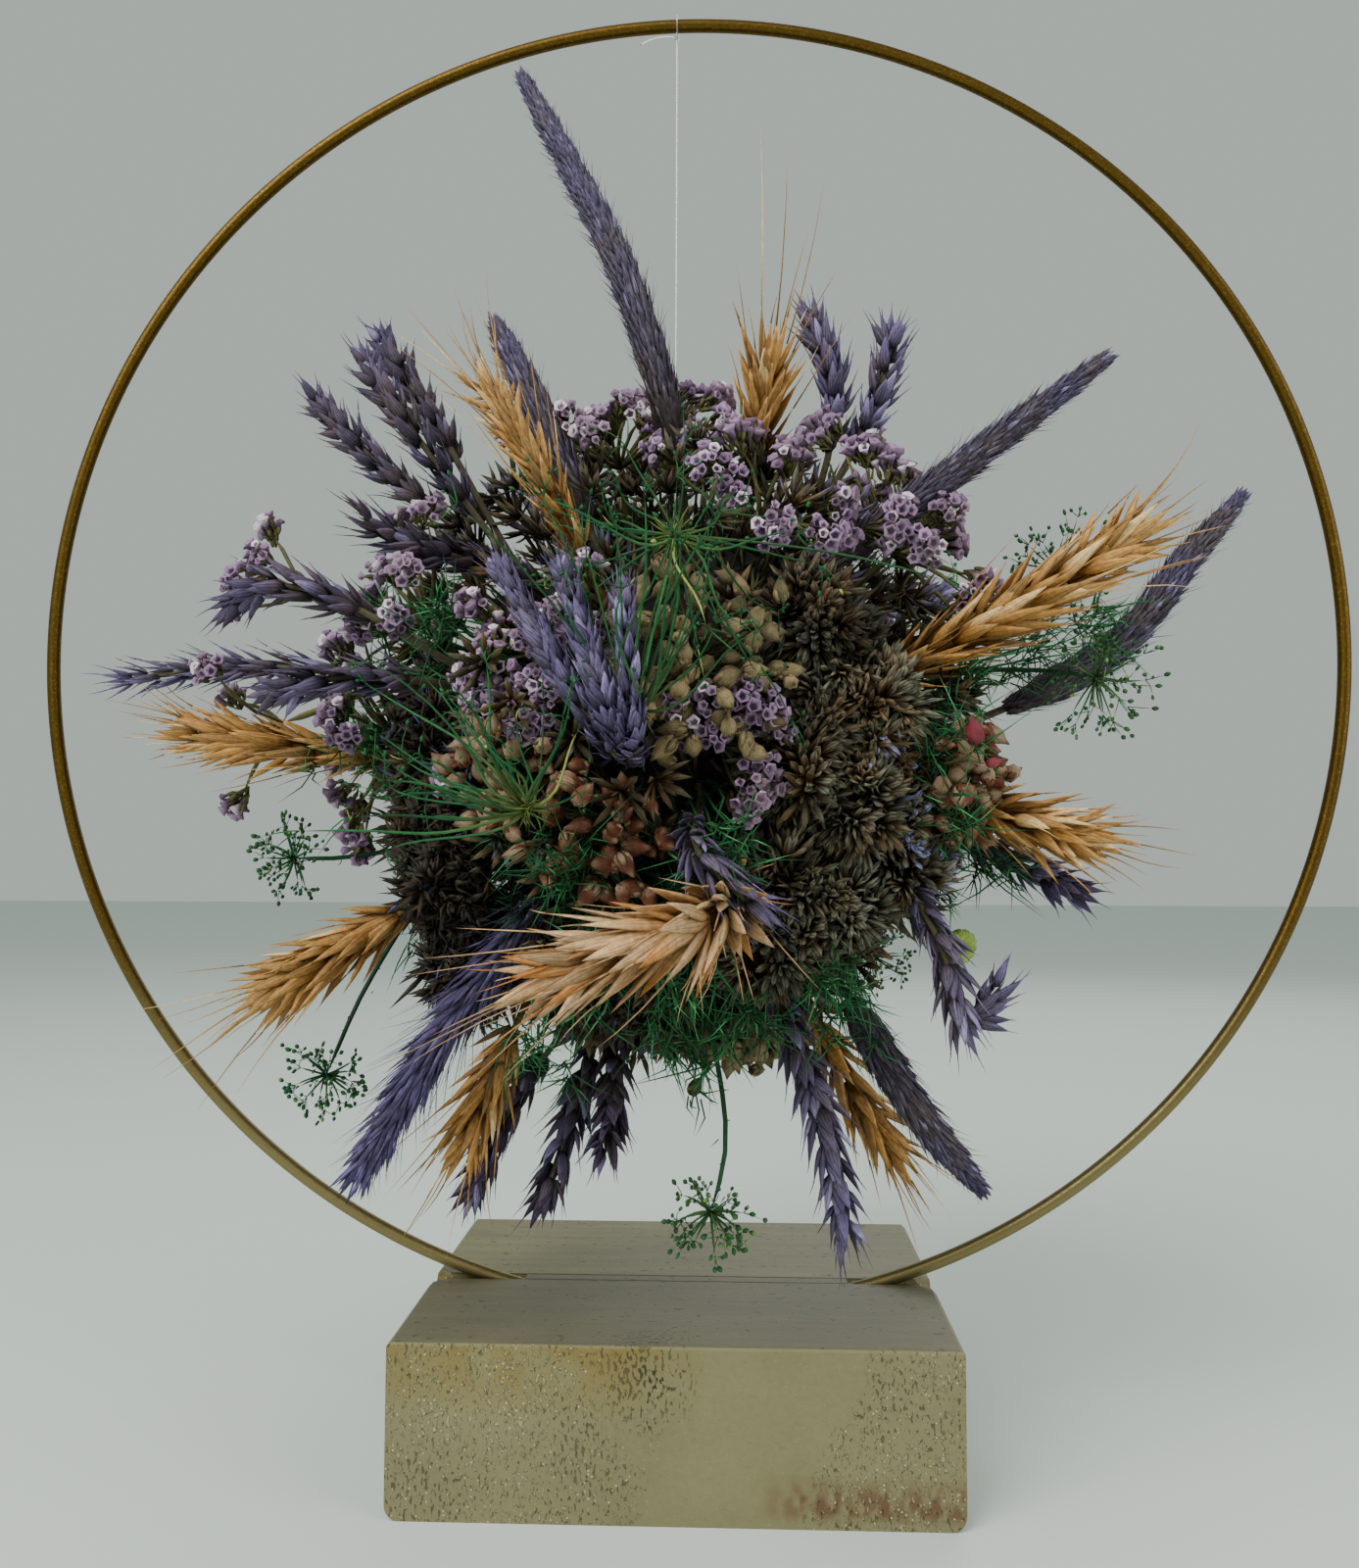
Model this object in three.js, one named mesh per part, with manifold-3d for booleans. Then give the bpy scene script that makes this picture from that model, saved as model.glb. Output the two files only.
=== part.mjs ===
// A ball of dried flowers that hangs on a clear thread inside an upright wire hoop.
// The hoop stands in a groove that is sawn along the top of a painted wooden block.
// Millimetres, +Z up. The origin is on the block's underside, in the hoop's plane.
// +X is the viewer's right, and -Y is towards the viewer.

import * as THREE from 'three';
import { mergeVertices } from 'three/addons/utils/BufferGeometryUtils.js';
import Module from 'manifold-3d';

const wasm = await Module();
wasm.setup();

// Driving dimensions of the holder
const HOOP_OUTER = 300;
const WIRE = 3;
const HOOP_RADIUS = (HOOP_OUTER - WIRE) / 2;
const HOOP_SUNK = 8;
const BLOCK_LEFT = -57;
const BLOCK_RIGHT = 55;
const BLOCK_FRONT = -43;
const BLOCK_BACK = 49;
const BLOCK_HEIGHT = 34;
const BLOCK_FOOT_ROUND = 3;
const BLOCK_EDGE = 1;
const GROOVE_WIDTH = 4;
const NOTCH = 6;
const FIT = 0.3;
const HOOP_Z = BLOCK_HEIGHT - HOOP_SUNK + HOOP_OUTER / 2;
const HOOP_SEGMENTS = 60;
const WIRE_SIDES = 8;
const FILLER_HALF_LENGTH = 36;

// Driving dimensions of the thread and the ball
const AXIS_X = -3;
const THREAD = 0.6;
const LOOP_FIT = 0.35;
const LOOP_RADIUS = WIRE / 2 + THREAD / 2 + LOOP_FIT;
const KNOT = 1.5;
const KNOT_DROP = 0.6;
const TAIL = 9;
const TAIL_DROP = 2.4;
const BALL_Z = 156;
const FOAM_RADIUS = 46;
const FOAM_DETAIL = 2;
const ROOT_DEPTH = 12;
const LEG_OUT = 4;
const THREAD_DEPTH = 20;
const THREAD_WELL = 1.9;
const CLEAR = 0.45;
const SLIVER = 0.06;

// Turn from one repeat to the next round a head, so that no two lie in one line
const GOLDEN_TURN = Math.PI * (3 - Math.sqrt(5));
// Share of a direction below which it counts as upright, and another one is used with it
const NEARLY_UPRIGHT = 0.2;

const vec = (p) => new THREE.Vector3(p[0], p[1], p[2]);

// Solids

function solidOf(geometry) {
  geometry.deleteAttribute('normal');
  geometry.deleteAttribute('uv');
  const merged = mergeVertices(geometry, 1e-4);
  const mesh = new wasm.Mesh({
    numProp: 3,
    vertProperties: new Float32Array(merged.attributes.position.array),
    triVerts: new Uint32Array(merged.index.array),
  });
  return new wasm.Manifold(mesh);
}

function geometryOf(solid) {
  const mesh = solid.getMesh();
  const geometry = new THREE.BufferGeometry();
  geometry.setAttribute('position', new THREE.BufferAttribute(mesh.vertProperties, 3));
  geometry.setIndex(new THREE.BufferAttribute(mesh.triVerts, 1));
  return geometry;
}

// Joins the pieces, smooths away slivers and keeps the one body that holds together.
function fuse(solids) {
  const joined = wasm.Manifold.union(solids).simplify(SLIVER);
  const bodies = joined.decompose();
  return bodies.reduce((best, one) => (one.volume() > best.volume() ? one : best));
}

// A closed body round a line of points. Each ring has the radius given for its point,
// and a radius of zero closes the body in a point. The relief, where one is given,
// scales a corner of a ring and moves it forward along the line.
function sweep(points, radii, sides, relief) {
  const count = points.length;
  const last = count - 1;
  const positions = [];
  const ringStart = [];
  const tangentAt = (i) => {
    const ahead = points[Math.min(i + 1, last)];
    return ahead.clone().sub(points[Math.max(i - 1, 0)]).normalize();
  };
  const firstTangent = tangentAt(0);
  const sideways = new THREE.Vector3(0, 0, 1).cross(firstTangent);
  if (sideways.length() < NEARLY_UPRIGHT) sideways.set(1, 0, 0);
  const normal = sideways.normalize();
  for (let i = 0; i < count; i += 1) {
    const tangent = tangentAt(i);
    normal.addScaledVector(tangent, -normal.dot(tangent)).normalize();
    const binormal = tangent.clone().cross(normal);
    ringStart.push(positions.length / 3);
    const corners = radii[i] > 0 ? sides : 1;
    for (let k = 0; k < corners; k += 1) {
      const angle = (2 * Math.PI * k) / sides;
      const [scale, forward] = relief && corners > 1 ? relief(i, k) : [1, 0];
      const corner = points[i].clone().addScaledVector(tangent, forward);
      corner.addScaledVector(normal, radii[i] * scale * Math.cos(angle));
      corner.addScaledVector(binormal, radii[i] * scale * Math.sin(angle));
      positions.push(corner.x, corner.y, corner.z);
    }
  }
  const triangles = [];
  for (let i = 0; i < last; i += 1) {
    const here = ringStart[i];
    const next = ringStart[i + 1];
    for (let k = 0; k < sides; k += 1) {
      const m = (k + 1) % sides;
      if (radii[i] > 0 && radii[i + 1] > 0) {
        triangles.push(here + k, here + m, next + m, here + k, next + m, next + k);
      } else if (radii[i] > 0) {
        triangles.push(here + k, here + m, next);
      } else {
        triangles.push(here, next + m, next + k);
      }
    }
  }
  for (let k = 1; k < sides - 1; k += 1) {
    if (radii[0] > 0) triangles.push(ringStart[0], ringStart[0] + k + 1, ringStart[0] + k);
    if (radii[last] > 0) triangles.push(ringStart[last], ringStart[last] + k, ringStart[last] + k + 1);
  }
  const mesh = new wasm.Mesh({
    numProp: 3,
    vertProperties: new Float32Array(positions),
    triVerts: new Uint32Array(triangles),
  });
  return new wasm.Manifold(mesh);
}

// Room that the plants have taken: straight stretches with a radius, each with its owner

const taken = [];

// Shortest distance between two straight stretches.
function distanceBetween(a, b, c, d) {
  const ab = b.clone().sub(a);
  const cd = d.clone().sub(c);
  const ca = a.clone().sub(c);
  const abab = ab.dot(ab);
  const cdcd = cd.dot(cd);
  const abcd = ab.dot(cd);
  const abca = ab.dot(ca);
  const cdca = cd.dot(ca);
  const spread = abab * cdcd - abcd * abcd;
  let s = spread > 1e-9 ? THREE.MathUtils.clamp((abcd * cdca - abca * cdcd) / spread, 0, 1) : 0;
  const t = THREE.MathUtils.clamp((abcd * s + cdca) / cdcd, 0, 1);
  s = THREE.MathUtils.clamp((abcd * t - abca) / abab, 0, 1);
  return a.clone().addScaledVector(ab, s).distanceTo(c.clone().addScaledVector(cd, t));
}

function isFree(a, b, radius, owner) {
  return taken.every((one) => one.owner === owner
    || distanceBetween(a, b, one.a, one.b) > radius + one.radius + CLEAR);
}

function take(a, b, radius, owner) {
  taken.push({ a: a.clone(), b: b.clone(), radius, owner });
}

function takeLine(points, radius, owner) {
  for (let i = 1; i < points.length; i += 1) take(points[i - 1], points[i], radius, owner);
}

// Stems

// The straight leg that stands in the foam, from its foot to just outside the ball.
function legOf(root) {
  const out = vec(root).normalize();
  return {
    foot: out.clone().multiplyScalar(FOAM_RADIUS - ROOT_DEPTH),
    top: out.clone().multiplyScalar(FOAM_RADIUS + LEG_OUT),
  };
}

// The smooth line of a stem, from its leg through the points given to its tip.
function lineOf(root, path) {
  const leg = legOf(root);
  return new THREE.CatmullRomCurve3([leg.foot, leg.top, ...path.map(vec)], false, 'centripetal');
}

// Points along a line between two lengths measured back from the tip.
function pointsAlong(line, fromTip, toTip, steps) {
  const length = line.getLength();
  const points = [];
  for (let i = 0; i <= steps; i += 1) {
    const back = fromTip + ((toTip - fromTip) * i) / steps;
    points.push(line.getPointAt(THREE.MathUtils.clamp(1 - back / length, 0, 1)));
  }
  return points;
}

const STEM_SIDES = 3;
const STEM_ROOT = 1.3;
const STEM_TOP = 0.8;
const STEM_STEPS = 3;
const BRANCH_SUNK = 2.2;
const BRANCH_STEP = 0.7;

const countOf = (plant) => (plant.paths ?? plant.heads).length;

// A stem is thickest at its foot. A branch starts in a point inside the leg that it shares.
function stemAlong(points, isBranch) {
  const radii = points.map((_, i) => STEM_ROOT + ((STEM_TOP - STEM_ROOT) * i) / (points.length - 1));
  if (isBranch) radii.splice(0, 1, 0);
  return sweep(points, radii, STEM_SIDES);
}

// The leg that the branches of one plant share.
function sharedLeg(plant) {
  const leg = legOf(plant.root);
  return sweep([leg.foot, leg.top], [STEM_ROOT, STEM_ROOT], STEM_SIDES);
}

// Where a stem starts: its foot in the foam, or a point inside the leg that it shares.
function startOf(plant, member) {
  const leg = legOf(plant.root);
  if (countOf(plant) === 1) return [leg.foot, leg.top];
  return [leg.top.clone().setLength(leg.top.length() - BRANCH_SUNK - BRANCH_STEP * member.order)];
}

// The part of a stem that is straight in the foam and bent outside it.
function stemOf(plant, member, line, backFromTip) {
  const outside = pointsAlong(line, line.getLength() - ROOT_DEPTH - LEG_OUT, backFromTip, STEM_STEPS);
  return [...startOf(plant, member), ...outside.slice(1)];
}

// Grass ears: a thin axis with pointed spikelets that stand out to both sides

const SPIKELET_STEP = 7.6;
const SPIKELET_LENGTH = 14;
const SPIKELET_BELLY = 0.45;
const SPIKELET_LEAST = 0.75;
const SPIKELET_SWELL = 0.3;
const EAR_SPIKELET = 6.4;
const SPIKELET_SUNK = 3;
const SPIKELET_LEAN = 0.5;
const EAR_TWIST = 0.45;
const AWN_RADIUS = 0.4;
const AWN_LEAN = 0.32;

// Two directions across a line at a point, and the direction along it.
function frameAt(line, fromTip) {
  const u = THREE.MathUtils.clamp(1 - fromTip / line.getLength(), 0, 1);
  const along = line.getTangentAt(u);
  const across = along.clone().cross(new THREE.Vector3(0, 0, 1));
  if (across.length() < NEARLY_UPRIGHT) across.set(1, 0, 0);
  across.normalize();
  return { point: line.getPointAt(u), along, across, beyond: across.clone().cross(along) };
}

function earPieces(plant, member) {
  const { length, width = EAR_SPIKELET, awn = 0 } = { ...plant, ...member };
  const line = lineOf(plant.root, member.path);
  const axis = pointsAlong(line, length, SPIKELET_STEP, 2).slice(1);
  const stem = [...stemOf(plant, member, line, length), ...axis];
  const pieces = [stemAlong(stem, countOf(plant) > 1)];
  const count = Math.floor(length / SPIKELET_STEP);
  for (let i = 0; i < count; i += 1) {
    const back = length - i * SPIKELET_STEP;
    const { point, along, across, beyond } = frameAt(line, back);
    const turn = i * (Math.PI + EAR_TWIST);
    const side = across.clone().multiplyScalar(Math.cos(turn)).addScaledVector(beyond, Math.sin(turn));
    const isLast = i === count - 1;
    const lean = isLast ? 0 : SPIKELET_LEAN;
    const grow = SPIKELET_LEAST + SPIKELET_SWELL * Math.sin((Math.PI * (i + 1)) / (count + 1));
    const reach = SPIKELET_LENGTH * grow;
    const heading = along.clone().multiplyScalar(Math.cos(lean)).addScaledVector(side, Math.sin(lean));
    const foot = point.clone();
    if (isLast) foot.addScaledVector(along, -SPIKELET_SUNK);
    else foot.addScaledVector(side, -STEM_TOP);
    const belly = foot.clone().addScaledVector(heading, reach * SPIKELET_BELLY);
    const end = foot.clone().addScaledVector(heading, reach);
    const points = [foot, belly, end];
    const radii = [0, (width / 2) * grow, 0];
    const awnHeading = along.clone().multiplyScalar(Math.cos(AWN_LEAN));
    awnHeading.addScaledVector(side, Math.sin(AWN_LEAN));
    const awnEnd = end.clone().addScaledVector(awnHeading, awn * grow);
    if (awn > 0 && i % 2 === 0 && isFree(end, awnEnd, AWN_RADIUS, plant.name)) {
      radii[2] = AWN_RADIUS;
      points.push(awnEnd);
      radii.push(0);
      take(end, awnEnd, AWN_RADIUS, plant.name);
    }
    pieces.push(sweep(points, radii, 3));
  }
  return pieces;
}

function takeEar(plant, member) {
  const { length, width = EAR_SPIKELET } = { ...plant, ...member };
  const line = lineOf(plant.root, member.path);
  takeLine(stemOf(plant, member, line, length), STEM_ROOT, plant.name);
  takeLine(pointsAlong(line, length, 0, 4), width, plant.name);
}

// Foxtails: a bristly body that is raised from a round one by a formula

const FOXTAIL_SIDES = 7;
const FOXTAIL_STEP = 5;
const FOXTAIL_NECK = 0.35;
const FOXTAIL_SWELL = 4;
const BRISTLE_OUT = 1.2;
const BRISTLE_IN = 0.78;
const BRISTLE_FORWARD = 2;

function foxtailPieces(plant, member) {
  const { length, width } = plant;
  const line = lineOf(plant.root, member.path);
  const rings = Math.round(length / FOXTAIL_STEP);
  const points = pointsAlong(line, length, 0, rings);
  const radii = points.map((_, i) => {
    const t = i / rings;
    return (width / 2) * Math.min(1, FOXTAIL_NECK + FOXTAIL_SWELL * t) * Math.sqrt(1 - t ** 3);
  });
  radii[0] = 0;
  const bristles = (i, k) => ((i + k) % 2 === 0 ? [BRISTLE_OUT, BRISTLE_FORWARD] : [BRISTLE_IN, 0]);
  const stem = stemOf(plant, member, line, length - 2 * FOXTAIL_STEP);
  return [stemAlong(stem), sweep(points, radii, FOXTAIL_SIDES, bristles)];
}

function takeFoxtail(plant, member) {
  const line = lineOf(plant.root, member.path);
  takeLine(stemOf(plant, member, line, plant.length), STEM_ROOT, plant.name);
  takeLine(pointsAlong(line, plant.length, -1, 6), (plant.width / 2) * BRISTLE_OUT, plant.name);
}

// Heads: repeats that stand out all round a small pointed core on the stem

const HEAD_DEPTH = 17;
const HEAD_CORE = 5;
const CORE_BELLY = 2;
const CORE_POINT = 9;
const CORE_RADII = [9, 8, 7, 6, 5, 4, 3, 2.5];
const CORE_SIDES = 6;

// Directions spread evenly over a cap round an axis, the first one nearest to it.
function capDirections(axis, capAngle, count) {
  const across = axis.clone().cross(new THREE.Vector3(0.3, 0.2, 1)).normalize();
  const beyond = axis.clone().cross(across);
  return Array.from({ length: count }, (_, i) => {
    const off = capAngle * Math.sqrt((i + 0.5) / count);
    const turn = i * GOLDEN_TURN;
    return axis.clone().multiplyScalar(Math.cos(off))
      .addScaledVector(across, Math.sin(off) * Math.cos(turn))
      .addScaledVector(beyond, Math.sin(off) * Math.sin(turn));
  });
}

// The point inside a head from which its repeats spread.
function hubOf(member) {
  const out = vec(member.head);
  return out.clone().setLength(out.length() - HEAD_DEPTH);
}

function headStem(plant, member) {
  return [...startOf(plant, member), hubOf(member)];
}

function headPieces(plant, member, pieceOf, sizes) {
  const hub = hubOf(member);
  const reach = vec(member.head).length();
  const out = vec(member.head).normalize();
  const pieces = [stemAlong(headStem(plant, member), countOf(plant) > 1)];
  const at = (d) => hub.clone().addScaledVector(out, d);
  const fits = (radius) => isFree(at(0), at(HEAD_CORE), radius, plant.name);
  const coreRadius = CORE_RADII.find(fits) ?? CORE_RADII[CORE_RADII.length - 1];
  take(at(0), at(HEAD_CORE), coreRadius, plant.name);
  const core = [at(-HEAD_CORE), at(CORE_BELLY), at(CORE_POINT)];
  pieces.push(sweep(core, [0, coreRadius * sizes.core, 0], CORE_SIDES));
  capDirections(out, plant.spread, plant.count).forEach((direction, i) => {
    const end = direction.clone().multiplyScalar(reach - sizes.wave * (i % 3));
    const heading = end.clone().sub(hub).normalize();
    const start = hub.clone().addScaledVector(heading, HEAD_CORE);
    if (!isFree(start, end, sizes.radius, plant.name)) return;
    take(start, end, sizes.radius, plant.name);
    pieces.push(pieceOf(hub, heading, hub.distanceTo(end)));
  });
  return pieces;
}

// A papery funnel on its stalk: it widens from the hub to a rim with a hollow.
const FUNNEL_FOOT = 0.5;
const FUNNEL_RIM = 4.2;
const FUNNEL_HOLLOW = 2.4;
const FUNNEL_SIDES = 4;

function funnel(hub, heading, reach) {
  const at = (d) => hub.clone().addScaledVector(heading, d);
  return sweep([at(FUNNEL_FOOT), at(reach), at(reach - FUNNEL_HOLLOW)], [0, FUNNEL_RIM, 0], FUNNEL_SIDES);
}

// A round seed boll with a point, on its stalk.
const BOLL = 6.5;
const BOLL_STALK = 0.45;
const BOLL_FOOT = 1;
const BOLL_POINT = 1;
const BOLL_SIDES = 3;

function boll(hub, heading, reach) {
  const at = (d) => hub.clone().addScaledVector(heading, d);
  const belly = at(reach - BOLL * 0.5);
  const shoulder = at(reach - BOLL * 0.15);
  return sweep(
    [at(BOLL_FOOT), at(reach - BOLL), belly, shoulder, at(reach + BOLL_POINT)],
    [0, BOLL_STALK, BOLL * 0.55, BOLL * 0.3, 0],
    BOLL_SIDES,
  );
}

// A fine leaf segment, which is a thin three-sided needle.
const NEEDLE = 0.75;

function needle(hub, heading, reach) {
  const at = (d) => hub.clone().addScaledVector(heading, d);
  return sweep([at(0), at(reach)], [NEEDLE, 0], 3);
}

// Tufts: cone flower heads with rows of bristles, raised by a formula

const TUFT_SIDES = 7;
const TUFT_PROFILE = [0, 0.45, 0.9, 1, 0.8, 0.4, 0];
const TUFT_LENGTH = 20;
const TUFT_STEM_IN = 6;
const TUFT_BRISTLE_OUT = [1.12, 1.6];
const TUFT_BRISTLE_IN = [0.74, -0.6];

function tuftPieces(plant, member) {
  const out = vec(member.head).normalize();
  const base = vec(member.head).length() - TUFT_LENGTH;
  const rings = TUFT_PROFILE.length - 1;
  const at = (d) => out.clone().multiplyScalar(base + d);
  const points = TUFT_PROFILE.map((_, i) => at((TUFT_LENGTH * i) / rings));
  const radii = TUFT_PROFILE.map((share) => share * plant.size);
  const bristles = (i, k) => ((i + k) % 2 === 0 ? TUFT_BRISTLE_OUT : TUFT_BRISTLE_IN);
  const stem = [...startOf(plant, member), at(TUFT_STEM_IN)];
  return [stemAlong(stem, countOf(plant) > 1), sweep(points, radii, TUFT_SIDES, bristles)];
}

// Umbels: rays that spread from the end of a stem, each with a bead of seeds

const RAY = 0.45;
const BEAD = 1.5;
const BEAD_LENGTH = 2.2 * BEAD;
const RAY_SUNK = 0.6;
const UMBEL_OPEN = 1.15;
const UMBEL_KNOB = 1.5;
const UMBEL_KNOB_FROM = -2;
const UMBEL_KNOB_TO = 1.4;

function umbelPieces(plant, member) {
  const { ray, rays } = plant;
  const line = lineOf(plant.root, member.path);
  const stem = stemOf(plant, member, line, 0);
  const { point, along } = frameAt(line, 0);
  const pieces = [stemAlong(stem, countOf(plant) > 1)];
  const foot = point.clone().addScaledVector(along, -RAY_SUNK);
  const knob = [UMBEL_KNOB_FROM, 0, UMBEL_KNOB_TO].map((d) => point.clone().addScaledVector(along, d));
  pieces.push(sweep(knob, [0, UMBEL_KNOB, 0], 4));
  capDirections(along, UMBEL_OPEN, rays).forEach((direction) => {
    const at = (d) => foot.clone().addScaledVector(direction, d);
    if (!isFree(at(UMBEL_KNOB), at(ray), BEAD, plant.name)) return;
    take(at(UMBEL_KNOB), at(ray), BEAD, plant.name);
    pieces.push(sweep([at(0), at(ray - BEAD_LENGTH), at(ray - BEAD), at(ray)], [0, RAY, BEAD, 0], 3));
  });
  return pieces;
}

// The plants. Each is placed from the ball's centre, in millimetres: root is the direction
// in which its stem leaves the foam, and paths and heads are points that it passes or ends at.

const VIOLET = [0x5f5587, 0.9];
const PURPLE = [0x756a96, 0.85];
const ORANGE = [0xc8904f, 0.8];
const STRAW = [0xe1be8c, 0.8];
const LILAC = [0x967da0, 0.9];
const BROWN = [0xa08c69, 0.8];
const GREY = [0x6b5f58, 0.95];
const GREEN = [0x1f5a36, 0.85];
const LIME = [0x78963a, 0.8];

const foxtails = [
  {
    name: 'foxtail_tall',
    root: [4, -26, 60],
    paths: [[[-6, -34, 84], [-36, -6, 154]]],
    length: 105,
    width: 9,
  },
  {
    name: 'foxtail_upper_right',
    root: [30, -40, 30],
    paths: [[[62, -34, 54], [88, -42, 72]]],
    length: 60,
    width: 9,
  },
  {
    name: 'foxtail_right',
    root: [68, -12, -4],
    paths: [[[93, -20, 16], [112, -18, 38], [125, -12, 52]]],
    length: 64,
    width: 10,
  },
  {
    name: 'foxtail_upper_left',
    root: [-18, -36, 44],
    paths: [[[-28, -34, 66], [-38, -27, 87]]],
    length: 42,
    width: 10,
  },
  {
    name: 'foxtail_lower_right',
    root: [36, -24, -52],
    paths: [[[50, -36, -78], [64, -30, -95]]],
    length: 40,
    width: 10,
  },
  {
    name: 'foxtail_lower_left',
    root: [-24, -46, -36],
    paths: [[[-44, -46, -64], [-60, -44, -90]]],
    length: 58,
    width: 13,
  },
  {
    name: 'foxtail_back',
    root: [-22, 46, 42],
    paths: [[[-34, 66, 62], [-50, 84, 82]]],
    length: 52,
    width: 10,
  },
].map((plant) => ({ ...plant, kind: 'foxtail', colour: VIOLET }));

const purpleEars = [
  {
    name: 'wheat_front',
    root: [-7, -70, -13],
    paths: [
      [[-9, -80, -8], [-31, -72, 28]],
      [[-7, -82, -6], [-18, -78, 27]],
      [[-4, -83, -6], [-6, -82, 22]],
    ],
    length: 38,
  },
  {
    name: 'wheat_upper_left',
    root: [-38, -34, 38],
    paths: [
      [[-50, -36, 56], [-69, -28, 82]],
      [[-50, -26, 64], [-70, -8, 94]],
      [[-54, -44, 36], [-66, -50, 42]],
      [[-60, -20, 54], [-86, -10, 80]],
    ],
    length: 38,
  },
  {
    name: 'wheat_far_left',
    root: [-44, -6, 8],
    paths: [[[-86, -14, 14], [-129, -14, 11]]],
    length: 54,
    width: 3.4,
  },
  {
    name: 'wheat_left',
    root: [-38, -44, 6],
    paths: [
      [[-62, -53, 21], [-78, -50, 25], [-91, -44, 18]],
      [[-60, -57, 6], [-82, -47, 3]],
    ],
    length: 28,
  },
  { name: 'wheat_centre', root: [10, -66, -22], paths: [[[8, -79, -28], [22, -76, -41]]], length: 22 },
  {
    name: 'wheat_curled',
    root: [50, -30, -28],
    paths: [[[53, -48, -44], [57, -50, -58], [70, -40, -48]]],
    length: 40,
  },
  { name: 'wheat_hanging', root: [20, -34, -50], paths: [[[31, -50, -80], [36, -46, -108]]], length: 56 },
  {
    name: 'wheat_low_left',
    root: [-14, -4, -60],
    paths: [
      [[-34, -8, -80], [-47, -12, -108]],
      [[-20, -18, -80], [-28, -26, -106]],
      [[-12, -22, -78], [-12, -42, -90]],
    ],
    length: 30,
  },
  { name: 'wheat_right', root: [66, -6, -22], paths: [[[76, -21, -30], [87, -34, -37]]], length: 28 },
  {
    name: 'wheat_top_right',
    root: [40, -12, 60],
    paths: [
      [[36, -12, 74], [28, -14, 98]],
      [[46, -10, 76], [50, -8, 98]],
    ],
    length: 26,
  },
  {
    name: 'wheat_back',
    root: [26, 48, 36],
    paths: [
      [[40, 62, 58], [56, 70, 78]],
      [[34, 76, 46], [36, 98, 58]],
      [[54, 64, 40], [80, 74, 50]],
    ],
    length: 34,
  },
].map((plant) => ({ ...plant, kind: 'ear', colour: PURPLE }));

const awnedEars = [
  {
    name: 'barley_upper_left',
    root: [-14, -58, 26],
    paths: [[[-24, -60, 46], [-39, -50, 69]]],
    length: 40,
    awn: 20,
  },
  { name: 'barley_top', root: [20, -20, 62], paths: [[[20, -30, 70], [20, -36, 82]]], length: 18, awn: 26 },
  {
    name: 'barley_right',
    root: [52, -38, 10],
    paths: [[[72, -48, 23], [98, -46, 40]]],
    length: 58,
    awn: 16,
  },
  {
    name: 'barley_right_low',
    root: [64, -24, -14],
    paths: [[[76, -38, -22], [89, -42, -24]]],
    length: 24,
    awn: 12,
  },
  {
    name: 'barley_front',
    root: [12, -56, -38],
    paths: [[[10, -79, -38], [-4, -86, -43], [-24, -80, -51]]],
    length: 46,
    awn: 26,
    colour: STRAW,
  },
  {
    name: 'barley_far_low_left',
    root: [-46, -28, -34],
    paths: [[[-68, -36, -48], [-84, -42, -58]]],
    length: 24,
    awn: 16,
  },
  {
    name: 'barley_left',
    root: [-50, -22, -8],
    paths: [[[-84, -26, -4], [-112, -20, 0]]],
    length: 40,
    awn: 12,
  },
  {
    name: 'barley_low_left',
    root: [-30, -24, -54],
    paths: [[[-38, -30, -78], [-44, -34, -92]]],
    length: 20,
    awn: 18,
  },
  {
    name: 'barley_low_right',
    root: [28, 2, -58],
    paths: [[[42, -6, -82], [53, -10, -98]]],
    length: 28,
    awn: 12,
  },
  {
    name: 'barley_back',
    root: [-26, 46, -36],
    paths: [
      [[-40, 62, -48], [-54, 76, -56]],
      [[-26, 70, -54], [-28, 80, -72]],
    ],
    length: 30,
    awn: 12,
  },
].map((plant) => ({ kind: 'ear', colour: ORANGE, ...plant }));

const statice = [
  { name: 'statice_top', root: [-14, -24, 66], heads: [[-15, -24, 76]] },
  { name: 'statice_upper', root: [28, -40, 46], heads: [[26, -44, 56]] },
  { name: 'statice_left', root: [-58, -24, 18], heads: [[-68, -36, 28], [-80, -22, -2]] },
  { name: 'statice_front', root: [-26, -62, 8], heads: [[-24, -68, 8]] },
  { name: 'statice_centre', root: [20, -64, -14], heads: [[15, -72, -8]] },
  { name: 'statice_right', root: [54, -26, 42], heads: [[62, -30, 48]] },
  { name: 'statice_back_left', root: [-54, 38, 4], heads: [[-55, 45, 28], [-66, 32, -16], [-38, 60, 2]] },
  { name: 'statice_back_right', root: [56, 38, 0], heads: [[60, 44, 14], [64, 30, -22], [40, 60, -10]] },
].map((plant) => ({
  ...plant,
  kind: 'statice',
  colour: LILAC,
  spread: 0.42,
  count: plant.heads.length > 1 ? 10 : 17,
}));

const bolls = [
  { name: 'flax_upper', root: [4, -66, 14], heads: [[8, -74, 9]], count: 12, spread: 0.3 },
  {
    name: 'flax_left',
    root: [-22, -62, -18],
    heads: [[-34, -62, -14], [-12, -68, -28]],
    count: 7,
    spread: 0.24,
  },
  { name: 'flax_bottom', root: [20, -16, -66], heads: [[21, -22, -72]], count: 9, spread: 0.22 },
  { name: 'flax_right', root: [58, -38, -12], heads: [[66, -42, -14]], count: 8, spread: 0.2 },
  { name: 'flax_back', root: [-2, 64, 4], heads: [[2, 68, 26], [-6, 70, -20]], count: 8, spread: 0.26 },
].map((plant) => ({ ...plant, kind: 'flax', colour: BROWN }));

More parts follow.
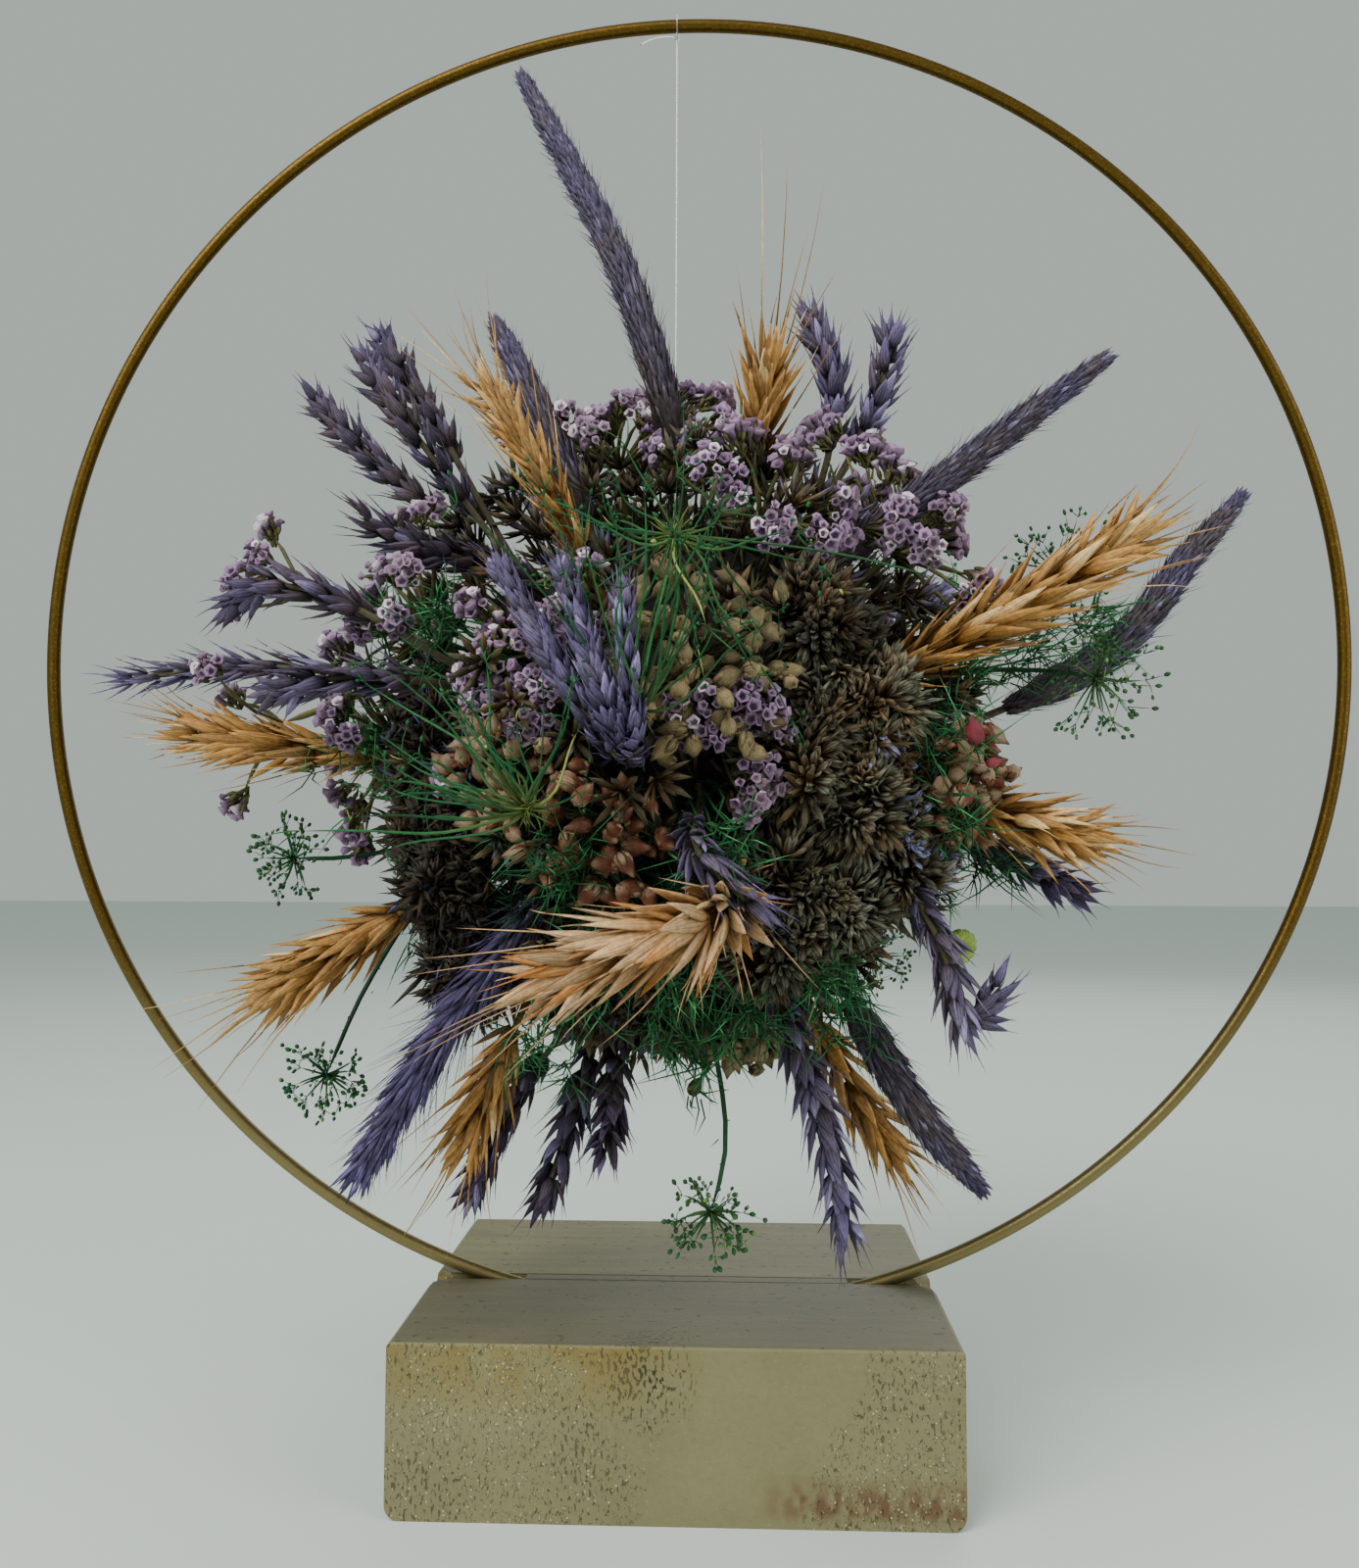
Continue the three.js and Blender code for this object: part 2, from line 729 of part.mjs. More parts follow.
const tufts = [
  { name: 'tuft_right', root: [42, -52, 2], heads: [[34, -62, 20], [46, -58, 2], [42, -58, -20]], size: 10 },
  { name: 'tuft_left', root: [-44, -46, -26], heads: [[-56, -42, -20], [-52, -44, -40]], size: 10.5 },
  { name: 'tuft_bottom', root: [-14, -32, -58], heads: [[-22, -34, -64], [-4, -38, -66]], size: 8 },
  { name: 'tuft_lower_right', root: [30, -46, -42], heads: [[24, -55, -52], [38, -52, -45]], size: 9 },
  { name: 'tuft_back', root: [0, 40, 56], heads: [[-18, 38, 60], [14, 40, 60]], size: 10 },
].map((plant) => ({ ...plant, kind: 'tuft', colour: GREY }));

const umbels = [
  { name: 'dill_upper', root: [-4, -52, 40], paths: [[[3, -77, 28]]], ray: 15, rays: 10 },
  { name: 'dill_left', root: [-40, -54, -8], paths: [[[-25, -79, -14]]], ray: 13, rays: 9 },
  {
    name: 'dill_right',
    root: [64, -22, 16],
    paths: [
      [[78, -14, 30], [88, -18, 38]],
      [[76, -36, 10], [88, -48, 6]],
    ],
    ray: 12,
    rays: 8,
  },
  { name: 'dill_hanging', root: [6, -30, -58], paths: [[[12, -48, -82], [8, -54, -98]]], ray: 9, rays: 9 },
  {
    name: 'dill_low_left',
    root: [-54, -4, -26],
    paths: [
      [[-72, -14, -28], [-86, -20, -28]],
      [[-66, -12, -54], [-74, -24, -78]],
    ],
    ray: 9,
    rays: 8,
  },
  {
    name: 'dill_back',
    root: [30, 46, -38],
    paths: [
      [[44, 58, -50], [56, 66, -56]],
      [[28, 66, -48], [28, 78, -52]],
    ],
    ray: 11,
    rays: 8,
  },
].map((plant) => ({ ...plant, kind: 'umbel', colour: GREEN }));

const mosses = [
  {
    name: 'dill_leaf_front',
    root: [-8, -48, -46],
    heads: [[-12, -54, -44], [0, -42, -56]],
    count: 16,
    spread: 0.3,
  },
  {
    name: 'dill_leaf_back',
    root: [0, 42, -52],
    heads: [[-16, 42, -54], [12, 44, -54]],
    count: 15,
    spread: 0.34,
  },
].map((plant) => ({ ...plant, kind: 'moss', colour: GREEN }));

// The mallow fruit: a flat ribbed wheel on a short stem

const mallow = {
  name: 'mallow_fruit',
  kind: 'wheel',
  colour: LIME,
  root: [56, -18, -40],
  paths: [[[60, -24, -46]]],
  width: 8,
};
const WHEEL_RIBS = 14;
const WHEEL_THICK = 2.4;
const WHEEL_DIMPLE = 0.8;
const WHEEL_BACK = 1;
const WHEEL_NOTCH = 0.82;

function wheelPieces(plant, member) {
  const line = lineOf(plant.root, member.path);
  const { point, along } = frameAt(line, 0);
  const at = (d) => point.clone().addScaledVector(along, d);
  const ribs = (i, k) => (k % 2 === 0 ? [1, 0] : [WHEEL_NOTCH, 0]);
  const radius = plant.width / 2;
  const outline = [at(-WHEEL_BACK), at(0), at(WHEEL_THICK), at(WHEEL_THICK - WHEEL_DIMPLE)];
  return [
    stemAlong(stemOf(plant, member, line, 0)),
    sweep(outline, [0, radius, radius, 0], WHEEL_RIBS, ribs),
  ];
}

// How each kind takes its room and makes its pieces

const HEAD_SIZES = {
  statice: { make: funnel, radius: 3.6, wave: 2, core: 1 },
  flax: { make: boll, radius: BOLL / 2, wave: 2.5, core: 0.8 },
  moss: { make: needle, radius: NEEDLE, wave: 3, core: 1 },
};

function membersOf(plant) {
  if (plant.paths) return plant.paths.map((path, order) => ({ path, order }));
  return plant.heads.map((head, order) => ({ head, order }));
}

function takeStems(plant) {
  membersOf(plant).forEach((member) => {
    if (plant.kind === 'ear') takeEar(plant, member);
    else if (plant.kind === 'foxtail') takeFoxtail(plant, member);
    else if (member.head) takeLine(headStem(plant, member), STEM_ROOT, plant.name);
    else takeLine(stemOf(plant, member, lineOf(plant.root, member.path), 0), STEM_ROOT, plant.name);
  });
}

// Tufts and the wheel are full bodies, so they take a short thick stretch each.
function takeSolidHeads(plant) {
  const out = (head, d) => vec(head).setLength(vec(head).length() + d);
  if (plant.kind === 'tuft') {
    plant.heads.forEach((head) => {
      take(out(head, -TUFT_LENGTH * 0.6), out(head, -TUFT_LENGTH * 0.4), plant.size, plant.name);
    });
  }
  if (plant.kind === 'wheel') {
    const [head] = plant.paths[0];
    take(vec(head), out(head, WHEEL_THICK - WHEEL_DIMPLE), plant.width / 2, plant.name);
  }
}

function piecesOf(plant) {
  const leg = countOf(plant) > 1 ? [sharedLeg(plant)] : [];
  return leg.concat(membersOf(plant).flatMap((member) => {
    if (plant.kind === 'ear') return earPieces(plant, member);
    if (plant.kind === 'foxtail') return foxtailPieces(plant, member);
    if (plant.kind === 'umbel') return umbelPieces(plant, member);
    if (plant.kind === 'tuft') return tuftPieces(plant, member);
    if (plant.kind === 'wheel') return wheelPieces(plant, member);
    const sizes = HEAD_SIZES[plant.kind];
    return headPieces(plant, member, sizes.make, sizes);
  }));
}

// The foam ball, with a plain hole for each stem and a well for the thread

function foamBall(plants) {
  const ball = solidOf(new THREE.IcosahedronGeometry(FOAM_RADIUS, FOAM_DETAIL));
  const holes = plants.map((plant) => {
    const leg = legOf(plant.root);
    const deep = leg.foot.clone().setLength(leg.foot.length() - FIT);
    return sweep([deep, leg.top], [STEM_ROOT + 2 * FIT, STEM_ROOT + 2 * FIT], STEM_SIDES);
  });
  const wellTop = new THREE.Vector3(0, 0, FOAM_RADIUS + LEG_OUT);
  const wellEnd = new THREE.Vector3(0, 0, FOAM_RADIUS - THREAD_DEPTH - FIT);
  const well = sweep([wellEnd, wellTop], [THREAD_WELL, THREAD_WELL], 6);
  return ball.subtract(wasm.Manifold.union([...holes, well])).simplify(FIT / 2);
}

// The thread: a loop round the wire, a knot with its cut tail, the line and a stopper knot

function threadSolid() {
  const loop = solidOf(new THREE.TorusGeometry(LOOP_RADIUS, THREAD / 2, 5, 12).rotateY(Math.PI / 2));
  const top = HOOP_Z + HOOP_RADIUS;
  const end = BALL_Z + FOAM_RADIUS - THREAD_DEPTH + KNOT;
  const line = sweep(
    [new THREE.Vector3(0, 0, -LOOP_RADIUS), new THREE.Vector3(0, 0, end - top)],
    [THREAD / 2, THREAD / 2],
    6,
  );
  const knotAt = new THREE.Vector3(0, 0, -LOOP_RADIUS - KNOT_DROP);
  const knot = solidOf(new THREE.OctahedronGeometry(KNOT * 0.6, 0).translate(0, 0, knotAt.z));
  const tail = sweep(
    [knotAt, new THREE.Vector3(-TAIL, 0, -LOOP_RADIUS - TAIL_DROP)],
    [THREAD / 2, THREAD / 2],
    6,
  );
  const stopper = solidOf(new THREE.OctahedronGeometry(KNOT, 0).translate(0, 0, end - top));
  return fuse([loop, line, knot, tail, stopper]);
}

// The block: rounded at its lower edges, with the groove and a notch at each end of it

function blockSolid() {
  const half = (BLOCK_RIGHT - BLOCK_LEFT) / 2;
  const outline = new THREE.Shape();
  outline.moveTo(-half + BLOCK_FOOT_ROUND, 0);
  outline.lineTo(half - BLOCK_FOOT_ROUND, 0);
  outline.absarc(half - BLOCK_FOOT_ROUND, BLOCK_FOOT_ROUND, BLOCK_FOOT_ROUND, -Math.PI / 2, 0);
  outline.lineTo(half, BLOCK_HEIGHT - BLOCK_EDGE);
  outline.lineTo(half - BLOCK_EDGE, BLOCK_HEIGHT);
  outline.lineTo(-half + BLOCK_EDGE, BLOCK_HEIGHT);
  outline.lineTo(-half, BLOCK_HEIGHT - BLOCK_EDGE);
  outline.lineTo(-half, BLOCK_FOOT_ROUND);
  outline.absarc(-half + BLOCK_FOOT_ROUND, BLOCK_FOOT_ROUND, BLOCK_FOOT_ROUND, Math.PI, 1.5 * Math.PI);
  const long = new THREE.ExtrudeGeometry(outline, {
    depth: BLOCK_BACK - BLOCK_FRONT, bevelEnabled: false, curveSegments: 4,
  });
  long.rotateX(Math.PI / 2).translate((BLOCK_LEFT + BLOCK_RIGHT) / 2, BLOCK_BACK, 0);
  const grooveDepth = HOOP_SUNK + FIT;
  const groove = new THREE.BoxGeometry(HOOP_OUTER, GROOVE_WIDTH, 2 * grooveDepth);
  groove.translate(0, 0, BLOCK_HEIGHT);
  const notches = [BLOCK_LEFT, BLOCK_RIGHT].map((x) => solidOf(
    new THREE.OctahedronGeometry(NOTCH, 0).translate(x, 0, BLOCK_HEIGHT),
  ));
  return solidOf(long).subtract(wasm.Manifold.union([solidOf(groove), ...notches]));
}

function ring(radius, wireRadius) {
  const torus = new THREE.TorusGeometry(radius, wireRadius, WIRE_SIDES, HOOP_SEGMENTS);
  return solidOf(torus.rotateX(Math.PI / 2).translate(0, 0, HOOP_Z));
}

// The filler: glue and paint that level the groove over the buried stretch of the wire.
function fillerSolid() {
  const slab = new THREE.BoxGeometry(2 * FILLER_HALF_LENGTH, GROOVE_WIDTH - 2 * FIT, HOOP_SUNK);
  slab.translate(0, 0, BLOCK_HEIGHT - HOOP_SUNK / 2);
  return fuse([solidOf(slab).subtract(ring(HOOP_RADIUS, WIRE / 2 + FIT))]);
}

// The object

function meshOf(name, solid, [colour, roughness, metalness = 0]) {
  const material = new THREE.MeshStandardMaterial({ color: colour, roughness, metalness });
  const mesh = new THREE.Mesh(geometryOf(solid), material);
  mesh.name = name;
  return mesh;
}

const object = new THREE.Group();
object.add(meshOf('block', blockSolid(), [0x918a69, 0.5, 0.2]));
object.add(meshOf('groove_filler', fillerSolid(), [0x6e6750, 0.6, 0.2]));
object.add(meshOf('hoop', ring(HOOP_RADIUS, WIRE / 2), [0x8a6a20, 0.35, 0.9]));

const thread = meshOf('thread', threadSolid(), [0xe8ecee, 0.15]);
thread.position.set(AXIS_X, 0, HOOP_Z + HOOP_RADIUS);
object.add(thread);

const ball = new THREE.Group();
ball.position.set(AXIS_X, 0, BALL_Z);
const plants = [
  ...foxtails, ...purpleEars, ...awnedEars, ...umbels, ...statice, ...bolls, ...tufts, mallow, ...mosses,
];
take(new THREE.Vector3(0, 0, 0), new THREE.Vector3(0, 0, HOOP_RADIUS), 1, 'thread');
plants.forEach(takeStems);
plants.forEach(takeSolidHeads);
ball.add(meshOf('foam_ball', foamBall(plants), [0x4b5a34, 0.95]));
plants.forEach((plant) => ball.add(meshOf(plant.name, fuse(piecesOf(plant)), plant.colour)));
object.add(ball);

export default object;
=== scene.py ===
# %% [markdown]
# A ball of dried flowers in a hoop
# The real object is a wooden block with a wire hoop standing in it, and a ball of dried and
# dyed plants that hangs in the hoop on a clear thread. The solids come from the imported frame.
# Here each bunch of the ball gets its fine form: hundreds of florets, husks, bristles and
# seeds, each one a small surface worked out by numpy and put where the plain solid has it.

# %% Load the frame
import math

import bpy
import numpy as np
from mathutils import Euler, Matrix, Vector


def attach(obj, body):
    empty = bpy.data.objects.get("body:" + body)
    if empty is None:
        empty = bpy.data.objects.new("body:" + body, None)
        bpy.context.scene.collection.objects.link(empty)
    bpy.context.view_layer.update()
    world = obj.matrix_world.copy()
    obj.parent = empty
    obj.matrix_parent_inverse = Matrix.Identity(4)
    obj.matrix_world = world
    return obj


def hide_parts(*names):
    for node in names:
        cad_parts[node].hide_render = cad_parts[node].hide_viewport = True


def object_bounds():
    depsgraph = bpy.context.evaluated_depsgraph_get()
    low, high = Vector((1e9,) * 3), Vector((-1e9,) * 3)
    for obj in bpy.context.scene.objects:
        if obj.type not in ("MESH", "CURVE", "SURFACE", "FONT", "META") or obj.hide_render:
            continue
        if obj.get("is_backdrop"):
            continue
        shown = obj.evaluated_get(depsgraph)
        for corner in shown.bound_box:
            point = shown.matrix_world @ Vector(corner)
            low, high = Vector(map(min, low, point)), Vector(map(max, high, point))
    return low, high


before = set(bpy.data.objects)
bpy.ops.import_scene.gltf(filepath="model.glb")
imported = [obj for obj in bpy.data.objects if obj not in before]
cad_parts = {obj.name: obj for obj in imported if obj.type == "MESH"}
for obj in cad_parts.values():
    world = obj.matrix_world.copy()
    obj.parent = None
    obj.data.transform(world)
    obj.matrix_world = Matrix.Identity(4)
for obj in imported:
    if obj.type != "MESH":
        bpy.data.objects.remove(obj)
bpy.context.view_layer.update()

# %% [markdown]
# Sizes
# All lengths below are millimetres, as a florist would measure them, and become metres when a
# mesh is made. The ball's centre is the point from which every stem leaves, so the plants'
# tables give their points from there.

# %% Driving sizes
MM = 0.001
BALL_CENTRE = np.array([-3.0, 0.0, 156.0])
FOAM_RADIUS = 46.0
HOOP_CENTRE = np.array([0.0, 0.0, 176.0])
HOOP_RADIUS = 148.5
WIRE_RADIUS = 1.5
STEM_FOOT, STEM_OUT = 34.0, 50.0
LINE_POINTS = 120
HUB_DEPTH = 20
GOLDEN_TURN = math.pi * (3 - math.sqrt(5))
ANY_TURN = 6.28
rng = np.random.default_rng(20)

# %% [markdown]
# The camera
# The photograph was taken from close by, a little below the middle of the hoop, looking
# slightly up and to the left. The place and angle were worked out from the hoop's circle and
# the block's corners.

# %% Camera
CAMERA_AT = (0.0097, -0.3133, 0.1270)
CAMERA_LENS = 31.5
SENSOR_WIDTH = 36
CAMERA_UP, CAMERA_ROLL, CAMERA_LEFT = 93.3, -0.2, 2.1


def put_in_scene(name, data):
    """An object that carries the data, linked into the scene."""
    made = bpy.data.objects.new(name, data)
    bpy.context.scene.collection.objects.link(made)
    return made


camera = put_in_scene("camera", bpy.data.cameras.new("camera"))
camera.data.lens = CAMERA_LENS
camera.data.sensor_width = SENSOR_WIDTH
camera.data.clip_start = 0.01
camera.location = CAMERA_AT
camera.rotation_euler = Euler([math.radians(a) for a in (CAMERA_UP, CAMERA_ROLL, CAMERA_LEFT)])
bpy.context.scene.camera = camera
print("camera of", CAMERA_LENS, "mm at", CAMERA_AT)

# %% [markdown]
# Many small surfaces at once
# A bristle, a husk, a petal and a stem are the same thing to a modeller: a closed ring that is
# carried along a line while it grows and shrinks. A loop that makes them one by one would be
# slow, so each array below holds all the strands of a bunch: strands, then points along each,
# then corners round each point.

# %% Vectors
def unit(v):
    """Each vector divided by its own length."""
    return v / np.maximum(np.linalg.norm(v, axis=-1, keepdims=True), 1e-9)


def across(v, hint=(0.31, 0.17, 0.93)):
    """Two directions square to each vector: the cross product with a hint, and with that."""
    first = unit(np.cross(v, np.broadcast_to(np.array(hint), v.shape)))
    return first, np.cross(v, first)


def sideways(axis, turn, hint=(0.31, 0.17, 0.93)):
    """A direction square to each axis: the first one across it times the cosine of the turn,
    plus the second one times its sine."""
    first, second = across(axis, hint)
    return first * np.cos(turn) + second * np.sin(turn)


def leaning(normal, turn, lean):
    """Directions round each normal: the normal times the cosine of the lean plus the side at
    that turn times its sine. The sides come with them."""
    side = sideways(normal[:, None], turn[..., None])
    made = normal[:, None] * np.cos(lean)[..., None] + side * np.sin(lean)[..., None]
    return made.reshape(-1, 3), side.reshape(-1, 3)


def along_line(start, heading, length, bend=None, points=4, ease=1.0):
    """Points from start along heading, moved by bend times the square of the step. The steps
    are equal, or with an ease below 1 crowded towards the tip, which makes it rounder."""
    step = np.linspace(0, 1, points)[None, :, None] ** ease
    line = start[:, None, :] + heading[:, None, :] * length[:, None, None] * step
    if bend is not None:
        line = line + bend[:, None, :] * step**2
    return line


def ends(lines):
    """The last point of each line, and the direction in which the line ends."""
    return lines[:, -1], unit(lines[:, -1] - lines[:, -2])


def equal_turns(count):
    """Angles that share a full turn out evenly."""
    return 2 * np.pi * np.arange(count) / count


def cap(axis, angle, count, jitter=0.0):
    """Directions spread evenly over a cap round an axis, by the golden turn: each one leans by
    the angle times the square root of its share of the count."""
    axis = unit(np.array(axis, float))[None]
    off = (angle * np.sqrt((np.arange(count) + 0.5) / count))[:, None]
    turn = (np.arange(count) * GOLDEN_TURN)[:, None]
    made = axis * np.cos(off) + np.sin(off) * sideways(axis, turn, (0.3, 0.2, 1.0))
    return unit(made + jitter * rng.normal(size=made.shape))


# %% Strands
def between(here, there):
    """Four-cornered faces between rings of point numbers and the rings that follow them."""
    return np.stack([here, np.roll(here, -1, -1), np.roll(there, -1, -1), there], -1).reshape(-1, 4)


def strands(line, wide, thick, facing=None, sides=4, tone=None, part=1.0, cup=0.0, along=None, own=0.3):
    """Closed flat strands that end in a point. A corner lies at wide times the cosine of its
    angle to the side and thick times the sine to the front, and cup bends the edges forward
    by the cosine squared. The shade holds how far along a point is, the strand's tone, whether
    it is stalk or flower, and how far across it the point lies."""
    count, points, _ = line.shape
    wide = np.broadcast_to(wide, (count, points))[..., None, None]
    thick = np.broadcast_to(thick, (count, points))[..., None, None]
    ahead = unit(np.gradient(line, axis=1))
    if facing is None:
        facing = across(ahead[:, 0])[0]
    front = np.broadcast_to(facing[:, None, :], line.shape)
    front = unit(front - ahead * (front * ahead).sum(-1, keepdims=True))
    side = np.cross(front, ahead)
    angle = equal_turns(sides)
    cosine, sine = np.cos(angle)[:, None], np.sin(angle)[:, None]
    corners = line[:, :, None, :] + wide * cosine * side[:, :, None, :]
    corners = corners + (thick * sine + cup * wide * (cosine**2 - 0.5)) * front[:, :, None, :]
    own_points = (points - 1) * sides + 1
    corners = np.concatenate([corners[:, :-1].reshape(count, -1, 3), line[:, -1:]], 1)
    first = np.arange(count)[:, None, None] * own_points
    number = first + np.arange(own_points - 1).reshape(points - 1, sides)
    quads = between(number[:, :-1], number[:, 1:])
    fan = np.arange(1, sides - 1)
    foot, last = number[:, 0], number[:, -1]
    foot_caps = np.stack([np.repeat(foot[:, :1], sides - 2, 1), foot[:, fan + 1], foot[:, fan]], -1)
    tip = np.repeat(first[:, 0] + own_points - 1, sides, 1)
    tip_fans = np.stack([tip, last, np.roll(last, -1, 1)], -1)
    shade = np.empty((count, own_points, 4), np.float32)
    step = np.append(np.repeat(np.linspace(0, 1, points)[:-1], sides), 1.0)
    shade[..., 0] = step if along is None else own * step + (1 - own) * np.reshape(along, (-1, 1))
    shade[..., 1] = (rng.random(count) if tone is None else np.broadcast_to(tone, count))[:, None]
    shade[..., 2] = part
    shade[..., 3] = np.append(np.tile(0.5 + 0.5 * np.cos(angle), points - 1), 0.5)
    triangles = np.concatenate([foot_caps.reshape(-1, 3), tip_fans.reshape(-1, 3)])
    return corners.reshape(-1, 3), quads, triangles, shade.reshape(-1, 4)


def round_strands(line, radius, sides=3, **settings):
    """Strands that are as thick as they are wide."""
    return strands(line, radius, radius, sides=sides, **settings)


# %% Smooth lines
def steps(points):
    """The distances from point to point."""
    return np.linalg.norm(np.diff(points, axis=0), axis=1)


def line_length(points):
    """The sum of the distances."""
    return steps(points).sum()


def read_off(line, length, wanted):
    """The line's values at the wanted lengths, by straight parts between its points."""
    return np.stack([np.interp(wanted, length, line[:, i]) for i in range(3)], 1)


def smooth_line(points, count):
    """A curve through the points whose speed grows with the square root of their spacing,
    cut again into equal lengths."""
    p = np.asarray(points, float)
    p = np.concatenate([[2 * p[0] - p[1]], p, [2 * p[-1] - p[-2]]])
    pieces = []
    t = np.linspace(0, 1, 40)[:, None]
    for a, b, c, d in zip(p, p[1:], p[2:], p[3:]):
        ab, bc, cd = (max(np.linalg.norm(y - x), 1e-6) ** 0.5 for x, y in ((a, b), (b, c), (c, d)))
        out = ((b - a) / ab - (c - a) / (ab + bc) + (c - b) / bc) * bc
        into = ((c - b) / bc - (d - b) / (bc + cd) + (d - c) / cd) * bc
        cubic = 2 * b - 2 * c + out + into
        square = -3 * b + 3 * c - 2 * out - into
        pieces.append(b + t * (out + t * (square + t * cubic)))
    fine = np.concatenate(pieces)
    length = np.append(0, np.cumsum(steps(fine)))
    return read_off(fine, length, np.linspace(0, 1, count) * length[-1])


def on_line(line, share):
    """Points and directions at shares of a line's length."""
    length = np.append(0, np.cumsum(steps(line)))
    wanted = np.clip(share, 0, 1) * length[-1]
    ahead = unit(np.gradient(line, axis=0))
    return read_off(line, length, wanted), unit(read_off(ahead, length, wanted))


# %% From arrays to a piece
totals = {}


def make_piece(name, parts, material, node=None, body="flower_ball", centre=BALL_CENTRE):
    """Joins the surfaces: the face numbers of each one move up by the points before it."""
    points, quads, triangles, shade = zip(*parts)
    starts = np.cumsum([0, *map(len, points[:-1])])
    quads = np.concatenate([rows + start for rows, start in zip(quads, starts)])
    triangles = np.concatenate([rows + start for rows, start in zip(triangles, starts)])
    points = np.concatenate(points)
    corners = np.concatenate([quads.ravel(), triangles.ravel()])
    first = np.concatenate([np.arange(len(quads)) * 4, quads.size + np.arange(len(triangles)) * 3])
    mesh = bpy.data.meshes.new(name)
    mesh.vertices.add(len(points))
    mesh.vertices.foreach_set("co", ((points + centre) * MM).astype(np.float32).ravel())
    mesh.loops.add(len(corners))
    mesh.loops.foreach_set("vertex_index", corners.astype(np.int32))
    mesh.polygons.add(len(first))
    mesh.polygons.foreach_set("loop_start", first.astype(np.int32))
    mesh.polygons.foreach_set("use_smooth", np.full(len(first), True))
    mesh.update(calc_edges=True)
    shades = mesh.attributes.new("shade", "FLOAT_COLOR", "POINT")
    shades.data.foreach_set("color", np.concatenate(shade).astype(np.float32).ravel())
    mesh.materials.append(material)
    piece = put_in_scene(name, mesh)
    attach(piece, body)
    if node:
        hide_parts(node)
    totals[name] = 2 * len(quads) + len(triangles)


def fine_bunch(name, parts, dye):
    """The fine form of a bunch takes the place of its solid."""
    make_piece(name + "_fine", parts, dyes[dye], name)


def tell(step):
    """Prints how many triangles there are after a step."""
    print(step, sum(totals.values()), "triangles")


# %% [markdown]
# Where the plants stand
# Each stem stands straight in the foam ball and then bends through the points given. Every row
# names its bunch, the direction in which its stem leaves the foam, and the points that each
# ear passes on its way to its tip. A head has one point only, in the middle of its outside.

# %% Foxtails: direction of the stem, paths, length of the ear, its width
FOXTAILS = {
    "foxtail_tall": ((4, -26, 60), [[(-6, -34, 84), (-36, -6, 154)]], 105, 9),
    "foxtail_upper_right": ((30, -40, 30), [[(62, -34, 54), (88, -42, 72)]], 60, 9),
    "foxtail_right": ((68, -12, -4), [[(93, -20, 16), (112, -18, 38), (125, -12, 52)]], 64, 10),
    "foxtail_upper_left": ((-18, -36, 44), [[(-28, -34, 66), (-38, -27, 87)]], 42, 10),
    "foxtail_lower_right": ((36, -24, -52), [[(50, -36, -78), (64, -30, -95)]], 40, 10),
    "foxtail_lower_left": ((-24, -46, -36), [[(-44, -46, -64), (-60, -44, -90)]], 58, 13),
    "foxtail_back": ((-22, 46, 42), [[(-34, 66, 62), (-50, 84, 82)]], 52, 10),
}

# %% Wheat: direction of the stem, paths, length of the ear, its bulk
WHEAT = {
    "wheat_front": ((-7, -70, -13), [
        [(-9, -80, -8), (-31, -72, 28)], [(-7, -82, -6), (-18, -78, 27)], [(-4, -83, -6), (-6, -82, 22)],
    ], 38, 0.76),
    "wheat_upper_left": ((-38, -34, 38), [
        [(-50, -36, 56), (-69, -28, 82)], [(-50, -26, 64), (-70, -8, 94)],
        [(-54, -44, 36), (-66, -50, 42)], [(-60, -20, 54), (-86, -10, 80)],
    ], 38, 0.95),
    "wheat_far_left": ((-44, -6, 8), [[(-86, -14, 14), (-129, -14, 11)]], 54, 1.0),
    "wheat_left": ((-38, -44, 6), [
        [(-62, -53, 21), (-78, -50, 25), (-91, -44, 18)], [(-60, -57, 6), (-82, -47, 3)],
    ], 28, 1.0),
    "wheat_centre": ((10, -66, -22), [[(8, -79, -28), (22, -76, -41)]], 22, 1.0),
    "wheat_curled": ((50, -30, -28), [[(53, -48, -44), (57, -50, -58), (70, -40, -48)]], 40, 1.0),
    "wheat_hanging": ((20, -34, -50), [[(31, -50, -80), (36, -46, -108)]], 56, 1.0),
    "wheat_low_left": ((-14, -4, -60), [
        [(-34, -8, -80), (-47, -12, -108)], [(-20, -18, -80), (-28, -26, -106)],
        [(-12, -22, -78), (-12, -42, -90)],
    ], 30, 1.0),
    "wheat_right": ((66, -6, -22), [[(76, -21, -30), (87, -34, -37)]], 28, 1.0),
    "wheat_top_right": ((40, -12, 60), [
        [(36, -12, 74), (28, -14, 98)], [(46, -10, 76), (50, -8, 98)],
    ], 26, 1.0),
    "wheat_back": ((26, 48, 36), [
        [(40, 62, 58), (56, 70, 78)], [(34, 76, 46), (36, 98, 58)], [(54, 64, 40), (80, 74, 50)],
    ], 34, 1.0),
}

